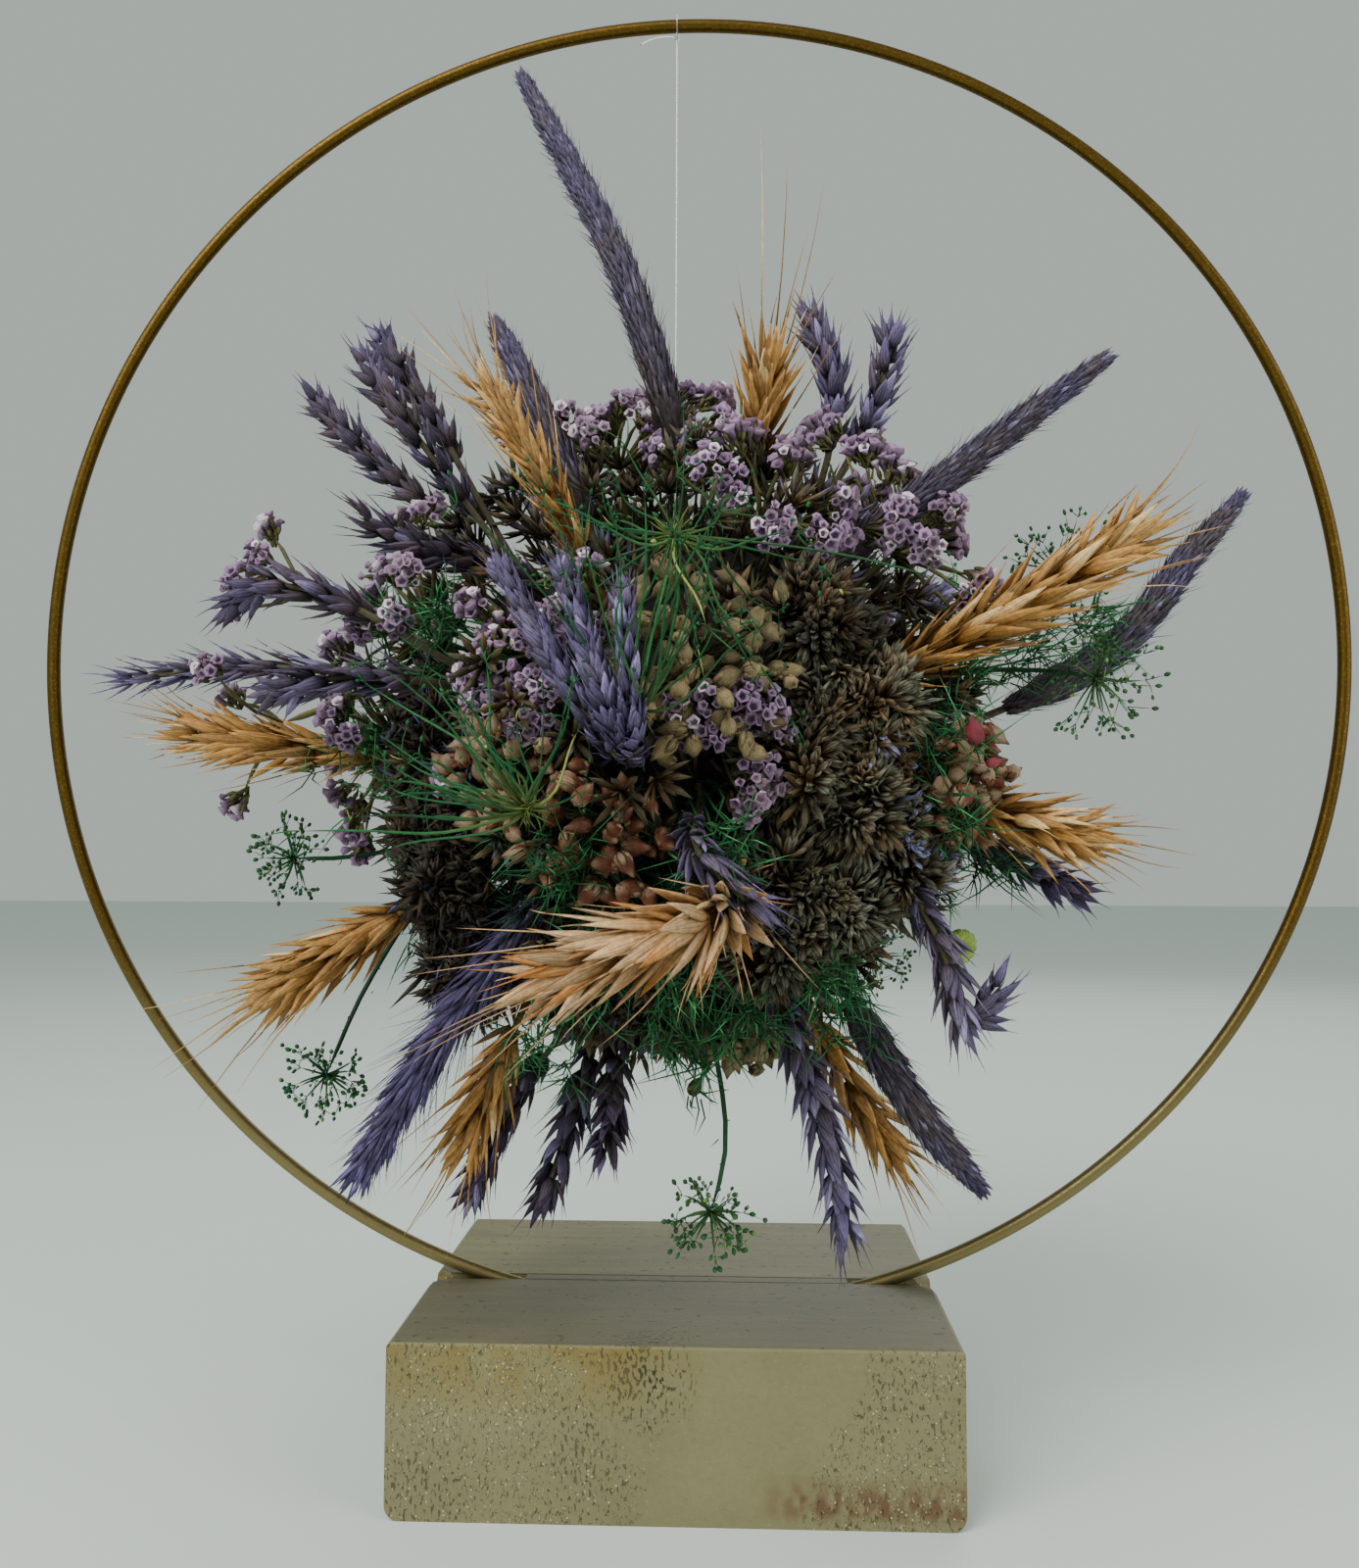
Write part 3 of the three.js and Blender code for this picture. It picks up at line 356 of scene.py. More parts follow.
# %% Bearded ears: as wheat, with the reach of the awns before the bulk
BARLEY = {
    "barley_upper_left": ((-14, -58, 26), [[(-24, -60, 46), (-39, -50, 69)]], 40, 20, 0.8),
    "barley_top": ((20, -20, 62), [[(20, -30, 70), (20, -36, 82)]], 18, 26, 1.1),
    "barley_right": ((52, -38, 10), [[(72, -48, 23), (98, -46, 40)]], 58, 16, 1.25),
    "barley_right_low": ((64, -24, -14), [[(76, -38, -22), (89, -42, -24)]], 24, 12, 1.2),
    "barley_front": ((12, -56, -38), [[(10, -79, -38), (-4, -86, -43), (-24, -80, -51)]], 46, 20, 1.36),
    "barley_far_low_left": ((-46, -28, -34), [[(-68, -36, -48), (-84, -42, -58)]], 24, 16, 1.25),
    "barley_left": ((-50, -22, -8), [[(-84, -26, -4), (-112, -20, 0)]], 40, 12, 1.1),
    "barley_low_left": ((-30, -24, -54), [[(-38, -30, -78), (-44, -34, -92)]], 20, 13, 1.1),
    "barley_low_right": ((28, 2, -58), [[(42, -6, -82), (53, -10, -98)]], 28, 12, 1.1),
    "barley_back": ((-26, 46, -36), [
        [(-40, 62, -48), (-54, 76, -56)], [(-26, 70, -54), (-28, 80, -72)],
    ], 30, 12, 1.1),
}

# %% Heads: direction of the stem, the middle of each head's outside, its angle or size
STATICE = {
    "statice_top": ((-14, -24, 66), [(-15, -24, 76)]),
    "statice_upper": ((28, -40, 46), [(26, -44, 56)]),
    "statice_left": ((-58, -24, 18), [(-68, -36, 28), (-80, -22, -2)]),
    "statice_front": ((-26, -62, 8), [(-24, -68, 8)]),
    "statice_centre": ((20, -64, -14), [(15, -72, -8)]),
    "statice_right": ((54, -26, 42), [(62, -30, 48)]),
    "statice_back_left": ((-54, 38, 4), [(-55, 45, 28), (-66, 32, -16), (-38, 60, 2)]),
    "statice_back_right": ((56, 38, 0), [(60, 44, 14), (64, 30, -22), (40, 60, -10)]),
}
FLAX = {
    "flax_upper": ((4, -66, 14), [(8, -74, 9)], 0.30),
    "flax_left": ((-22, -62, -18), [(-34, -62, -14), (-12, -68, -28)], 0.24),
    "flax_bottom": ((20, -16, -66), [(21, -22, -72)], 0.22),
    "flax_right": ((58, -38, -12), [(66, -42, -14)], 0.20),
    "flax_back": ((-2, 64, 4), [(2, 68, 26), (-6, 70, -20)], 0.26),
}
TUFTS = {
    "tuft_right": ((42, -52, 2), [(34, -62, 20), (46, -58, 2), (42, -58, -20)], 10),
    "tuft_left": ((-44, -46, -26), [(-56, -42, -20), (-52, -44, -40)], 10.5),
    "tuft_bottom": ((-14, -32, -58), [(-22, -34, -64), (-4, -38, -66)], 8),
    "tuft_lower_right": ((30, -46, -42), [(24, -55, -52), (38, -52, -45)], 9),
    "tuft_back": ((0, 40, 56), [(-18, 38, 60), (14, 40, 60)], 10),
}
DILL_LEAVES = {
    "dill_leaf_front": ((-8, -48, -46), [(-12, -54, -44), (0, -42, -56)], 0.30),
    "dill_leaf_back": ((0, 42, -52), [(-16, 42, -54), (12, 44, -54)], 0.34),
}
MALLOW = ((56, -18, -40), (60, -24, -46))

# %% Umbels: direction of the stem, paths, length of the rays
UMBELS = {
    "dill_upper": ((-4, -52, 40), [[(3, -77, 28)]], 15),
    "dill_left": ((-40, -54, -8), [[(-25, -79, -14)]], 13),
    "dill_right": ((64, -22, 16), [[(78, -14, 30), (88, -18, 38)], [(76, -36, 10), (88, -48, 6)]], 12),
    "dill_hanging": ((6, -30, -58), [[(12, -48, -82), (8, -54, -98)]], 9),
    "dill_low_left": ((-54, -4, -26), [
        [(-72, -14, -28), (-86, -20, -28)], [(-66, -12, -54), (-74, -24, -78)],
    ], 9),
    "dill_back": ((30, 46, -38), [[(44, 58, -50), (56, 66, -56)], [(28, 66, -48), (28, 78, -52)]], 11),
}
bunches = [*FOXTAILS, *WHEAT, *BARLEY, *STATICE, *FLAX, *TUFTS, *UMBELS, *DILL_LEAVES, "mallow_fruit"]
print(len(bunches), "bunches of", len(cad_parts), "nodes")

# %% [markdown]
# Colours
# The plants are dried, and most are dyed, so one strand is never one flat colour: it fades
# from its root to its tip, its neighbours took the dye differently, and it is mottled. One
# group of nodes does that for every plant. It reads the strand's own numbers from the mesh
# attribute: how far along the strand a point is, a number drawn for the strand, and whether
# it is stalk or flower.

# %% Node helpers
def linear(text):
    """A colour as on a screen, such as b4a078, in the linear light that shaders work in."""
    values = [int(text[i : i + 2], 16) / 255 for i in (0, 2, 4)]
    return [v / 12.92 if v <= 0.04045 else ((v + 0.055) / 1.055) ** 2.4 for v in values] + [1.0]


def tree_of(*values):
    """The tree in which the first socket among the values lives."""
    return next(v.id_data for v in values if isinstance(v, bpy.types.NodeSocket))


def link(value, socket):
    """A wire from one socket to another."""
    socket.id_data.links.new(value, socket)


def add(tree, kind, inputs=None, **settings):
    """A node with its settings. An input is a number, a colour or another node's socket."""
    made = tree.nodes.new(kind)
    for key, value in settings.items():
        setattr(made, key, value)
    for key, value in (inputs or {}).items():
        if isinstance(value, bpy.types.NodeSocket):
            link(value, made.inputs[key])
        else:
            made.inputs[key].default_value = value
    return made


def mix(factor, a, b, how="MIX"):
    """The mix of two colours by a factor."""
    settings = {"data_type": "RGBA", "blend_type": how}
    return add(tree_of(factor, a, b), "ShaderNodeMix", {0: factor, 6: a, 7: b}, **settings).outputs[2]


def spread(value, from_low, from_high, to_low=0.0, to_high=1.0, smooth=False):
    """A number moved from one range to another, and held within it."""
    how = "SMOOTHSTEP" if smooth else "LINEAR"
    made = add(value.id_data, "ShaderNodeMapRange", {"Value": value}, interpolation_type=how)
    limits = (from_low, from_high, to_low, to_high)
    for title, limit in zip(("From Min", "From Max", "To Min", "To Max"), limits):
        made.inputs[title].default_value = limit
    return made.outputs[0]


def sum_of(how, *values):
    """The values joined from left to right by one kind of sum, such as SUBTRACT."""
    total = values[0]
    for value in values[1:]:
        made = add(tree_of(total, value), "ShaderNodeMath", {0: total, 1: value}, operation=how)
        total = made.outputs[0]
    return total


def times(*values):
    """The product of numbers or sockets."""
    return sum_of("MULTIPLY", *values)


def plus(*values):
    """The sum of numbers or sockets."""
    return sum_of("ADD", *values)


def object_place(tree):
    """The place of a point on the object, in metres."""
    return add(tree, "ShaderNodeTexCoord").outputs["Object"]


def noise(place, scale, detail=2.0, stretch=None):
    """Noise at a scale; a stretch below 1 draws it out along that axis."""
    tree = place.id_data
    if stretch:
        place = add(tree, "ShaderNodeVectorMath", {0: place, 1: stretch}, operation="MULTIPLY").outputs[0]
    return add(tree, "ShaderNodeTexNoise", {"Vector": place, "Scale": scale, "Detail": detail}).outputs["Fac"]


def cells(place, scale):
    """A number drawn for each cell of a crackle, and the distance from the cell's middle."""
    made = add(place.id_data, "ShaderNodeTexVoronoi", {"Vector": place, "Scale": scale}).outputs
    drawn = add(place.id_data, "ShaderNodeSeparateColor", {"Color": made["Color"]}).outputs[0]
    return drawn, made["Distance"]


def raised(height, strength, distance):
    """The normal of a surface that a height lifts by up to the distance, in metres."""
    inputs = {"Strength": strength, "Distance": distance, "Height": height}
    return add(height.id_data, "ShaderNodeBump", inputs).outputs["Normal"]


# %% Groups and materials
def new_group(name, colours, numbers="", results="Colour Roughness Height"):
    """A node group: its tree, the sockets that bring its inputs and those that take its
    results. Every result but the colour is a number."""
    tree = bpy.data.node_groups.new(name, "ShaderNodeTree")
    titles = [(title, "INPUT", "Color") for title in colours.split()]
    titles += [(title, "INPUT", "Float") for title in numbers.split()]
    titles += [(title, "OUTPUT", "Color" if title == "Colour" else "Float") for title in results.split()]
    for title, way, kind in titles:
        tree.interface.new_socket(name=title, in_out=way, socket_type="NodeSocket" + kind)
    return tree, tree.nodes.new("NodeGroupInput").outputs, tree.nodes.new("NodeGroupOutput").inputs


def new_material(name):
    """A material, its tree and the inputs of its shader."""
    material = bpy.data.materials.new(name)
    material.use_nodes = True
    return material, material.node_tree, material.node_tree.nodes["Principled BSDF"].inputs


def coated(name, group, colours, numbers, bump, settings):
    """A material whose group feeds the colour, a bump and, if it gives one, the roughness.
    Colours and numbers come in the order of the group's inputs. The settings are the shader's
    numbers that are the same all over."""
    material, tree, shader = new_material(name)
    coat = add(tree, "ShaderNodeGroup", node_tree=group)
    for socket, value in zip(coat.inputs, [*map(linear, colours.split()), *numbers]):
        socket.default_value = value
    link(coat.outputs["Colour"], shader["Base Color"])
    link(raised(coat.outputs["Height"], *bump), shader["Normal"])
    if "Roughness" in coat.outputs:
        link(coat.outputs["Roughness"], shader["Roughness"])
    for title, value in settings.items():
        shader[title].default_value = value
    return material


# %% The group that dries and dyes
dried, given, made = new_group(
    "dried_and_dyed", "Stalk Root Tip Faded Accent", "Fading Lined Veins Accented", "Colour Height"
)
strand = add(dried, "ShaderNodeAttribute", attribute_name="shade").outputs
along, drawn, flower = add(dried, "ShaderNodeSeparateColor", {"Color": strand["Color"]}).outputs
place = object_place(dried)
blotch, fibre = noise(place, 90.0, 3.0), noise(place, 900.0)
dye = mix(spread(along, 0.05, 0.8, smooth=True), given["Root"], given["Tip"])
dye = mix(times(spread(blotch, 0.38, 0.68, smooth=True), given["Fading"]), dye, given["Faded"])
few = sum_of("GREATER_THAN", drawn, sum_of("SUBTRACT", 1.0, given["Accented"]))
dye = mix(times(few, spread(along, 0.3, 0.7)), dye, given["Accent"])
dye = mix(spread(flower, 0.4, 0.6), given["Stalk"], dye)
vein = sum_of("PINGPONG", times(strand["Alpha"], given["Veins"]), 0.5)
line = times(spread(vein, 0.0, 0.22, 1.0, 0.0, smooth=True), given["Lined"])
# The drawn tone sets how bright a strand is. In the tufts a tone below 0 is painted shade, on sunk rosettes
# and on the top of the right tuft.
level = times(
    spread(drawn, -0.5, 1.0, 0.175, 1.3),
    spread(fibre, 0.3, 0.7, 0.75, 1.2),
    spread(line, 0.0, 1.0, 1.0, 0.25),
)
link(mix(1.0, dye, level, "MULTIPLY"), made["Colour"])
link(sum_of("SUBTRACT", fibre, line), made["Height"])

# %% Dyes: colours of stalk, root, tip, faded parts and accent, then numbers
# The numbers are the fading, the roughness, how much the veins show, how many there are, and
# the share of strands that have the accent.
DYES = {
    "violet_foxtail": ("5c5444 504852 5a5270 64584f 7c7496", 0.6, 0.8, 0.5, 2.0, 0.05),
    "violet_feather": ("5c5444 383048 6b618e 5c5264 8a80b0", 0.4, 0.75, 0.6, 2.0, 0.05),
    "purple_wheat": ("5c563e 3c3444 6a5f86 6c5c58 8a80a4", 0.5, 0.65, 0.8, 4.0, 0.1),
    "dark_purple_wheat": ("544c3a 2c2430 574b6a 5a4842 7a7094", 0.6, 0.65, 0.8, 4.0, 0.08),
    "orange_barley": ("7c6030 84541f c08c48 cda468 dcbc84", 0.5, 0.6, 0.5, 3.0, 0.1),
    "straw_barley": ("8c7044 a0743a cda070 dcbc90 a86e34", 0.6, 0.55, 0.5, 4.0, 0.12),
    "lilac_statice": ("626038 44304a 9c7e9e a28890 cabcc4", 0.45, 0.7, 0.35, 2.0, 0.14),
    "brown_flax": ("5c5838 42351f 92805c 66583a a8966c", 0.6, 0.6, 0.8, 2.0, 0.0),
    "pinkish_flax": ("5c5838 48301f b59878 907050 683a28", 0.45, 0.42, 0.8, 2.0, 0.48),
    "red_bud": ("5c5838 4a1c1c 82303a 783438 a0605c", 0.4, 0.4, 0.3, 2.0, 0.0),
    "grey_tufts": ("2c2a22 4c2e10 7e7e6a 7c521e 8a8cb4", 0.6, 0.85, 1.0, 2.0, 0.12),
    "dark_curls": ("26241e 241c12 4c463e 4c3a20 484a6c", 0.6, 0.85, 0.5, 2.0, 0.08),
    "green_dill": ("1f4528 12401f 1f6236 5a6a34 6a8040", 0.35, 0.65, 0.2, 2.0, 0.12),
    "yellow_green_dill": ("1f5a2c 7c7a38 16582f 3a6a34 8a9048", 0.35, 0.6, 0.2, 2.0, 0.02),
    "stray_dill_leaf": ("1c4426 154822 236c3c 3c5a34 4a8c58", 0.35, 0.75, 0.1, 1.0, 0.12),
    "green_dill_leaf": ("162c1a 0f321a 1a5a30 2e4426 3a7448", 0.4, 0.8, 0.1, 1.0, 0.12),
    "dark_filler": ("302e22 2a2216 62604e 72522a 5e5878", 0.6, 0.9, 0.5, 2.0, 0.1),
    # The moss's dye is kept dark: partly painted shade in the gaps between the bunches.
    "dark_moss_and_painted_shade": ("24241a 1e2014 48502f 564226 4a4460", 0.6, 0.9, 0.3, 2.0, 0.08),
    "lime_mallow": ("5a6a30 5e7a2c 94ad4c 7a8a40 a4b868", 0.3, 0.5, 0.6, 1.0, 0.0),
}


def plant_material(name, colours, fading, roughness, *others):
    """The dried group in one dye, with a fine bump of its fibres."""
    settings = {"Roughness": roughness, "Specular IOR Level": 0.25}
    return coated(name, dried, colours, (fading, *others), (0.3, 0.0003), settings)


dyes = {name: plant_material(name, *row) for name, row in DYES.items()}
print(len(dyes), "dyes")

# %% [markdown]
# Stems
# A stem is pushed straight into the foam and bends outside it. Its line is the one that the
# solid follows, so each fine bunch stays where its solid is.

# %% Stems and stalks
def stem_line(root, path):
    """The line from the foot in the foam through the points of the path."""
    out = unit(np.array(root, float))
    return smooth_line([out * STEM_FOOT, out * STEM_OUT, *path], LINE_POINTS)


def stem(line, end=1.0, thick=(1.0, 0.6), points=14):
    """One stalk along a line, thickest at its foot."""
    centre, _ = on_line(line, np.linspace(0, end, points))
    return round_strands(centre[None], np.linspace(*thick, points)[None, :], 6, part=0.0)


def below(head, depth=HUB_DEPTH):
    """The point that lies a depth below a head, towards the ball's centre."""
    return np.array(head, float) * (1 - depth / np.linalg.norm(head))


def head_stem(root, head, depth=HUB_DEPTH, tip=0.7):
    """The stalk from the foam to the point from which a head's own stalks spread."""
    return stem(stem_line(root, [below(head, depth)]), thick=(1.0, tip))


def seats(head, angle, count, jitter, sunk, wander):
    """The hub below a head, places over a cap round the head, each sunk by a depth drawn from
    a range, and the directions in which they look: away from the hub, and a little astray."""
    hub = below(head)
    reach = np.linalg.norm(head)
    places = cap(head, angle, count, jitter) * (reach - rng.uniform(*sunk, count))[:, None]
    return hub, places, unit(unit(places - hub) + wander * rng.normal(size=places.shape))


def bent_stalks(start, end, radius, sag=0.12, sides=3, points=4, part=0.0):
    """Thin stalks from start to end, each bowed sideways by a share of its length, as four
    times the step times what is left of it."""
    start = np.broadcast_to(start, end.shape)
    reach = end - start
    length = np.linalg.norm(reach, axis=1, keepdims=True)
    bow = np.cross(reach, rng.normal(size=reach.shape))
    bow = unit(bow) * length * sag
    step = np.linspace(0, 1, points)[None, :, None]
    line = start[:, None] + reach[:, None] * step + bow[:, None] * 4 * step * (1 - step)
    return round_strands(line, radius, sides, part=part)


# %% [markdown]
# Foxtails
# A foxtail is hundreds of slim seeds that spiral up the stalk and lie almost flat along it,
# with fine bristles between them. The golden turn between neighbours keeps them from lining
# up in rows, and a slow wave in their tone gives the plaited look. The wide one at the lower
# left is feathery: fewer and longer seeds, which stand off more from a thinner core.

# %% Foxtail
def foxtail(root, path, length, width):
    """Seeds, bristles and a core over the last part of a stalk. The radius swells as 0.45 plus
    four times the height, up to 1, and falls by 0.2 of the height and 0.55 of its fifth power."""
    plain = (9, 0.2, 5.6, 0.6, 0.95, 1.0)
    feathery = (6, 0.36, 11.5, 0.2, 1.35, 0.55)
    per_mm, lean, seed_length, seat, seed_width, core_share = feathery if width > 12 else plain
    line = stem_line(root, path)
    total = line_length(line)
    length = length + 8
    count = int(length * per_mm)
    share = (np.arange(count) + 0.5) / count
    centre, ahead = on_line(line, 1 - (1 - share) * length / total - 2 / total)
    turn = np.arange(count)[:, None] * GOLDEN_TURN
    out = sideways(ahead, turn)
    swell = np.minimum(1, 0.45 + 4 * share) * (1 - 0.2 * share - 0.55 * share**5)
    radius = (width / 2 * swell)[:, None]
    plait = 0.5 + 0.32 * np.cos(2 * turn[:, 0] + share * length * 1.4)
    tone = np.clip(plait + 0.2 * rng.normal(size=count), 0, 1)
    reach = seed_length * (0.6 + 0.4 * swell) * rng.uniform(0.8, 1.15, count)
    heading = unit(ahead + lean * out + 0.08 * rng.normal(size=out.shape))
    seeds = strands(
        along_line(centre + out * radius * seat, heading, reach, out * -0.35),
        np.array([0.4, 0.72, 0.5, 0.05]) * seed_width,
        np.array([0.2, 0.36, 0.25, 0.05]),
        out,
        sides=3,
        tone=tone,
        along=share,
        own=0.35,
    )
    loose = unit(ahead + (lean + 0.12) * out + 0.16 * rng.normal(size=out.shape))[::2]
    bristles = along_line((centre + out * radius * 0.75)[::2], loose, reach[::2] * 1.05, points=3)
    bristles = round_strands(bristles, np.array([0.09, 0.07, 0.02]), along=share[::2], own=0.35)
    core, _ = on_line(line, 1 - np.linspace(1, 0.03, 20) * length / total)
    thick = np.interp(np.linspace(0, 1, 20), [0, 0.1, 0.7, 1], [0.3, 0.72, 0.6, 0.2]) * width / 2
    core = round_strands(core[None], (thick * core_share)[None], 8, tone=0.0, along=0.1, own=0.6)
    return [stem(line, 1 - 0.1 * length / total), seeds, bristles, core]


for name, (root, paths, length, width) in FOXTAILS.items():
    parts = [part for path in paths for part in foxtail(root, path, length, width)]
    fine_bunch(name, parts, "violet_feather" if name == "foxtail_lower_left" else "violet_foxtail")
tell("foxtails:")

# %% [markdown]
# Ears
# An ear of wheat carries its spikelets in turn on both sides of the stalk. A spikelet is a
# small fan of pointed, finely lined husks round the grain. In a bearded ear the husks are
# longer and silkier, and many run out into an awn. The awns end before the wire of the hoop,
# past which the ball turns.

# %% Ear: spacing of spikelets, lean and fan of the husks, a husk's length and half width
EAR_KINDS = {
    "loose": (3.1, 0.34, 0.7, 9.4, 1.38),
    "snug": (2.0, 0.2, 0.5, 9.4, 1.8),
    "bearded": (2.5, 0.36, 0.7, 13.5, 1.2),
}
HUSKS = [(0.6, 0.0, 1.0), (1.0, 0.36, 0.95), (1.0, -0.36, 0.95), (1.35, 0.7, 0.78), (1.35, -0.7, 0.78)]
HUSK = np.array([0.45, 1.0, 0.85, 0.45, 0.04])
SPIKELET_TURN = math.pi + 0.3
CLEAR_RADIUS = HOOP_RADIUS - WIRE_RADIUS - 2.0


def past_the_hoop(points):
    """How far points reach past the clear space of the hoop while the ball turns: the distance
    from the hoop's centre, once turned into its plane, less the clear radius."""
    aside = np.hypot(points[:, 0], points[:, 1]) + HOOP_CENTRE[0] - BALL_CENTRE[0]
    height = points[:, 2] + BALL_CENTRE[2] - HOOP_CENTRE[2]
    return np.maximum(np.hypot(aside, height) - CLEAR_RADIUS, 0)


def ear(root, path, length, kind, bulk, awn=0.0, slim=1.0):
    """Spikelets at just over half turns up the end of a stalk. Each husk of a spikelet heads along
    the stalk plus shares of the way out and of the flank, and is largest in the ear's middle,
    where it grows by 0.33 times the sine of the height."""
    step, lean, fan, husk_length, husk_half = EAR_KINDS[kind]
    bearded = kind == "bearded"
    line = stem_line(root, path)
    total = line_length(line)
    length = min(length + 9, total - 8)
    count = max(4, int(length / step))
    share = (np.arange(count) + 0.3) / count
    centre, ahead = on_line(line, 1 - (1 - share) * (length - 4) / total - 7 * bulk / total)
    side = sideways(ahead, (np.arange(count) * SPIKELET_TURN)[:, None], (0.05, 0.1, 1.0))
    flank = np.cross(ahead, side)
    grow = 0.75 + 0.33 * np.sin(np.pi * (np.arange(count) + 1) / (count + 1))
    half = HUSK * (slim * husk_half * grow * bulk)[:, None]
    parts = [stem(line, 1 - 6 / total)]
    for out_by, flank_by, long_by in HUSKS:
        jitter = 0.07 * rng.normal(size=side.shape)
        heading = unit(ahead + lean * out_by * side + fan * flank_by * flank + jitter * fan / 0.7)
        reach = husk_length * grow * long_by * bulk * rng.uniform(0.9, 1.1, count)
        start = centre + bulk * (side * 0.8 + flank * flank_by * 1.3)
        facing = unit(side + flank * flank_by * 1.4)
        husk = along_line(start, heading, reach, -side * 0.8 * bulk, 5)
        parts.append(strands(husk, half, half * 0.36, facing, 6, cup=-0.4, along=share, own=0.65))
        if bearded and long_by < 0.8:
            continue
        tip, ahead_of_tip = ends(husk)
        long_awn = rng.random(count) ** 2 * 1.25
        awn_length = awn * long_awn + rng.uniform(1.5, 4.5, count)
        too_far = past_the_hoop(tip + ahead_of_tip * awn_length[:, None])
        awn_length = np.maximum(awn_length - 1.4 * too_far, 1.0)
        wave = (rng.normal(size=side.shape) * 0.07 + side * 0.05) * awn_length[:, None]
        awns = along_line(tip - 0.6 * ahead_of_tip, ahead_of_tip, awn_length, wave, 4)
        thick = np.array([0.2, 0.15, 0.1, 0.04]) * (1.0 if bearded else 0.7)
        parts.append(round_strands(awns, thick, along=1.0, own=0.2))
    return parts


DARK_WHEAT = ("wheat_upper_left", "wheat_left", "wheat_low_left")
SLIM_EAR = 3.4 / 6.4
for name, (root, paths, length, bulk) in WHEAT.items():
    kind = "snug" if name == "wheat_front" else "loose"
    slim = SLIM_EAR if name == "wheat_far_left" else 1.0
    parts = [part for path in paths for part in ear(root, path, length, kind, bulk, slim=slim)]
    fine_bunch(name, parts, "dark_purple_wheat" if name in DARK_WHEAT else "purple_wheat")
for name, (root, paths, length, awn, bulk) in BARLEY.items():
    parts = [part for path in paths for part in ear(root, path, length, "bearded", bulk, awn)]
    slot = "straw" if name == "barley_front" else "orange"
    fine_bunch(name, parts, slot + "_barley")
tell("with the ears:")

# %% [markdown]
# Shapes that are repeated
# A statice funnel, a flax boll and a seed wheel are turned shapes: a profile carried round an
# axis. One is worked out once and put at every place by multiplying it with the three
# directions of that place, so hundreds cost one line.

# %% Turned shapes
def lathe(profile, sides, lobes=0, lobe_depth=()):
    """A closed surface of revolution: rings of given radius, height and tone from root to tip,
    with a point at each end. Lobes pull a ring in between its corners by a share of its radius."""
    radius, height, tone = np.array(profile, float).T
    angle = equal_turns(sides)
    wave = 0.5 - 0.5 * np.cos(lobes * angle)
    depth = np.array(lobe_depth or [0.0] * len(profile))
    around = radius[:, None] * (1 - depth[:, None] * wave)
    heights = np.repeat(height[:, None], sides, 1)
    points = np.stack([around * np.cos(angle), around * np.sin(angle), heights], -1)
    rings = len(profile)
    number = np.arange(rings * sides).reshape(rings, sides)
    quads = between(number[:-1], number[1:])
    foot, tip = rings * sides, rings * sides + 1
    low = np.stack([np.full(sides, foot), np.roll(number[0], -1), number[0]], -1)
    high = np.stack([np.full(sides, tip), number[-1], np.roll(number[-1], -1)], -1)
    poles = np.array([[0, 0, height[0]], [0, 0, height[-1]]])
    tall = np.concatenate([np.repeat(tone, sides), [tone[0], tone[-1]]])
    rib = np.concatenate([np.tile(wave if lobes else wave + 0.25, rings), [0.25, 0.25]])
    return np.concatenate([points.reshape(-1, 3), poles]), quads, np.concatenate([low, high]), tall, rib


def scatter(shape, places, heading, size, tone=None, crumple=0.0):
    """The shape at every place: its height goes along the heading, and the rest across it.
    Each corner moves by a random crumple, so no two are alike."""
    points, quads, triangles, tall, rib = shape
    one = sideways(heading, rng.uniform(0, 2 * np.pi, len(places))[:, None])
    two = np.cross(heading, one)
    axes = np.stack([one, two, heading], 1) * np.reshape(size, (-1, 1, 1))
    made = places[:, None, :] + np.einsum("pk,nkj->npj", points, axes)
    made = made + crumple * rng.normal(size=made.shape)
    step = (np.arange(len(places)) * len(points))[:, None, None]
    shade = np.ones((len(places), len(points), 4), np.float32)
    shade[..., 0] = tall[None]
    shade[..., 1] = (rng.random(len(places)) if tone is None else tone)[:, None]
    shade[..., 3] = rib[None]
    faces = (quads[None] + step).reshape(-1, 4), (triangles[None] + step).reshape(-1, 3)
    return made.reshape(-1, 3), *faces, shade.reshape(-1, 4)


# %% [markdown]
# Statice
# Statice keeps its papery cups for years. They sit close together in small clusters on wiry,
# branching stalks, and each cup has a pleated wall and a turned-out rim.

# %% Statice head
# The last ring turns back into the mouth with a tone near 0, so the inside of each cup takes the dark root
# colour: painted shade in the mouth.
CUP = lathe(
    [(0.3, 0.0, 0.0), (0.8, 1.9, 0.3), (1.1, 3.2, 0.5), (1.95, 4.5, 0.95), (1.7, 4.8, 1.0), (0.7, 3.3, 0.05)],
    5,
)
CUPS, CUP_LENGTH, CUP_SPREAD = 11, 4.5, 2.9
FORK_DEPTH, STALK_DEPTH = 8, 4.5


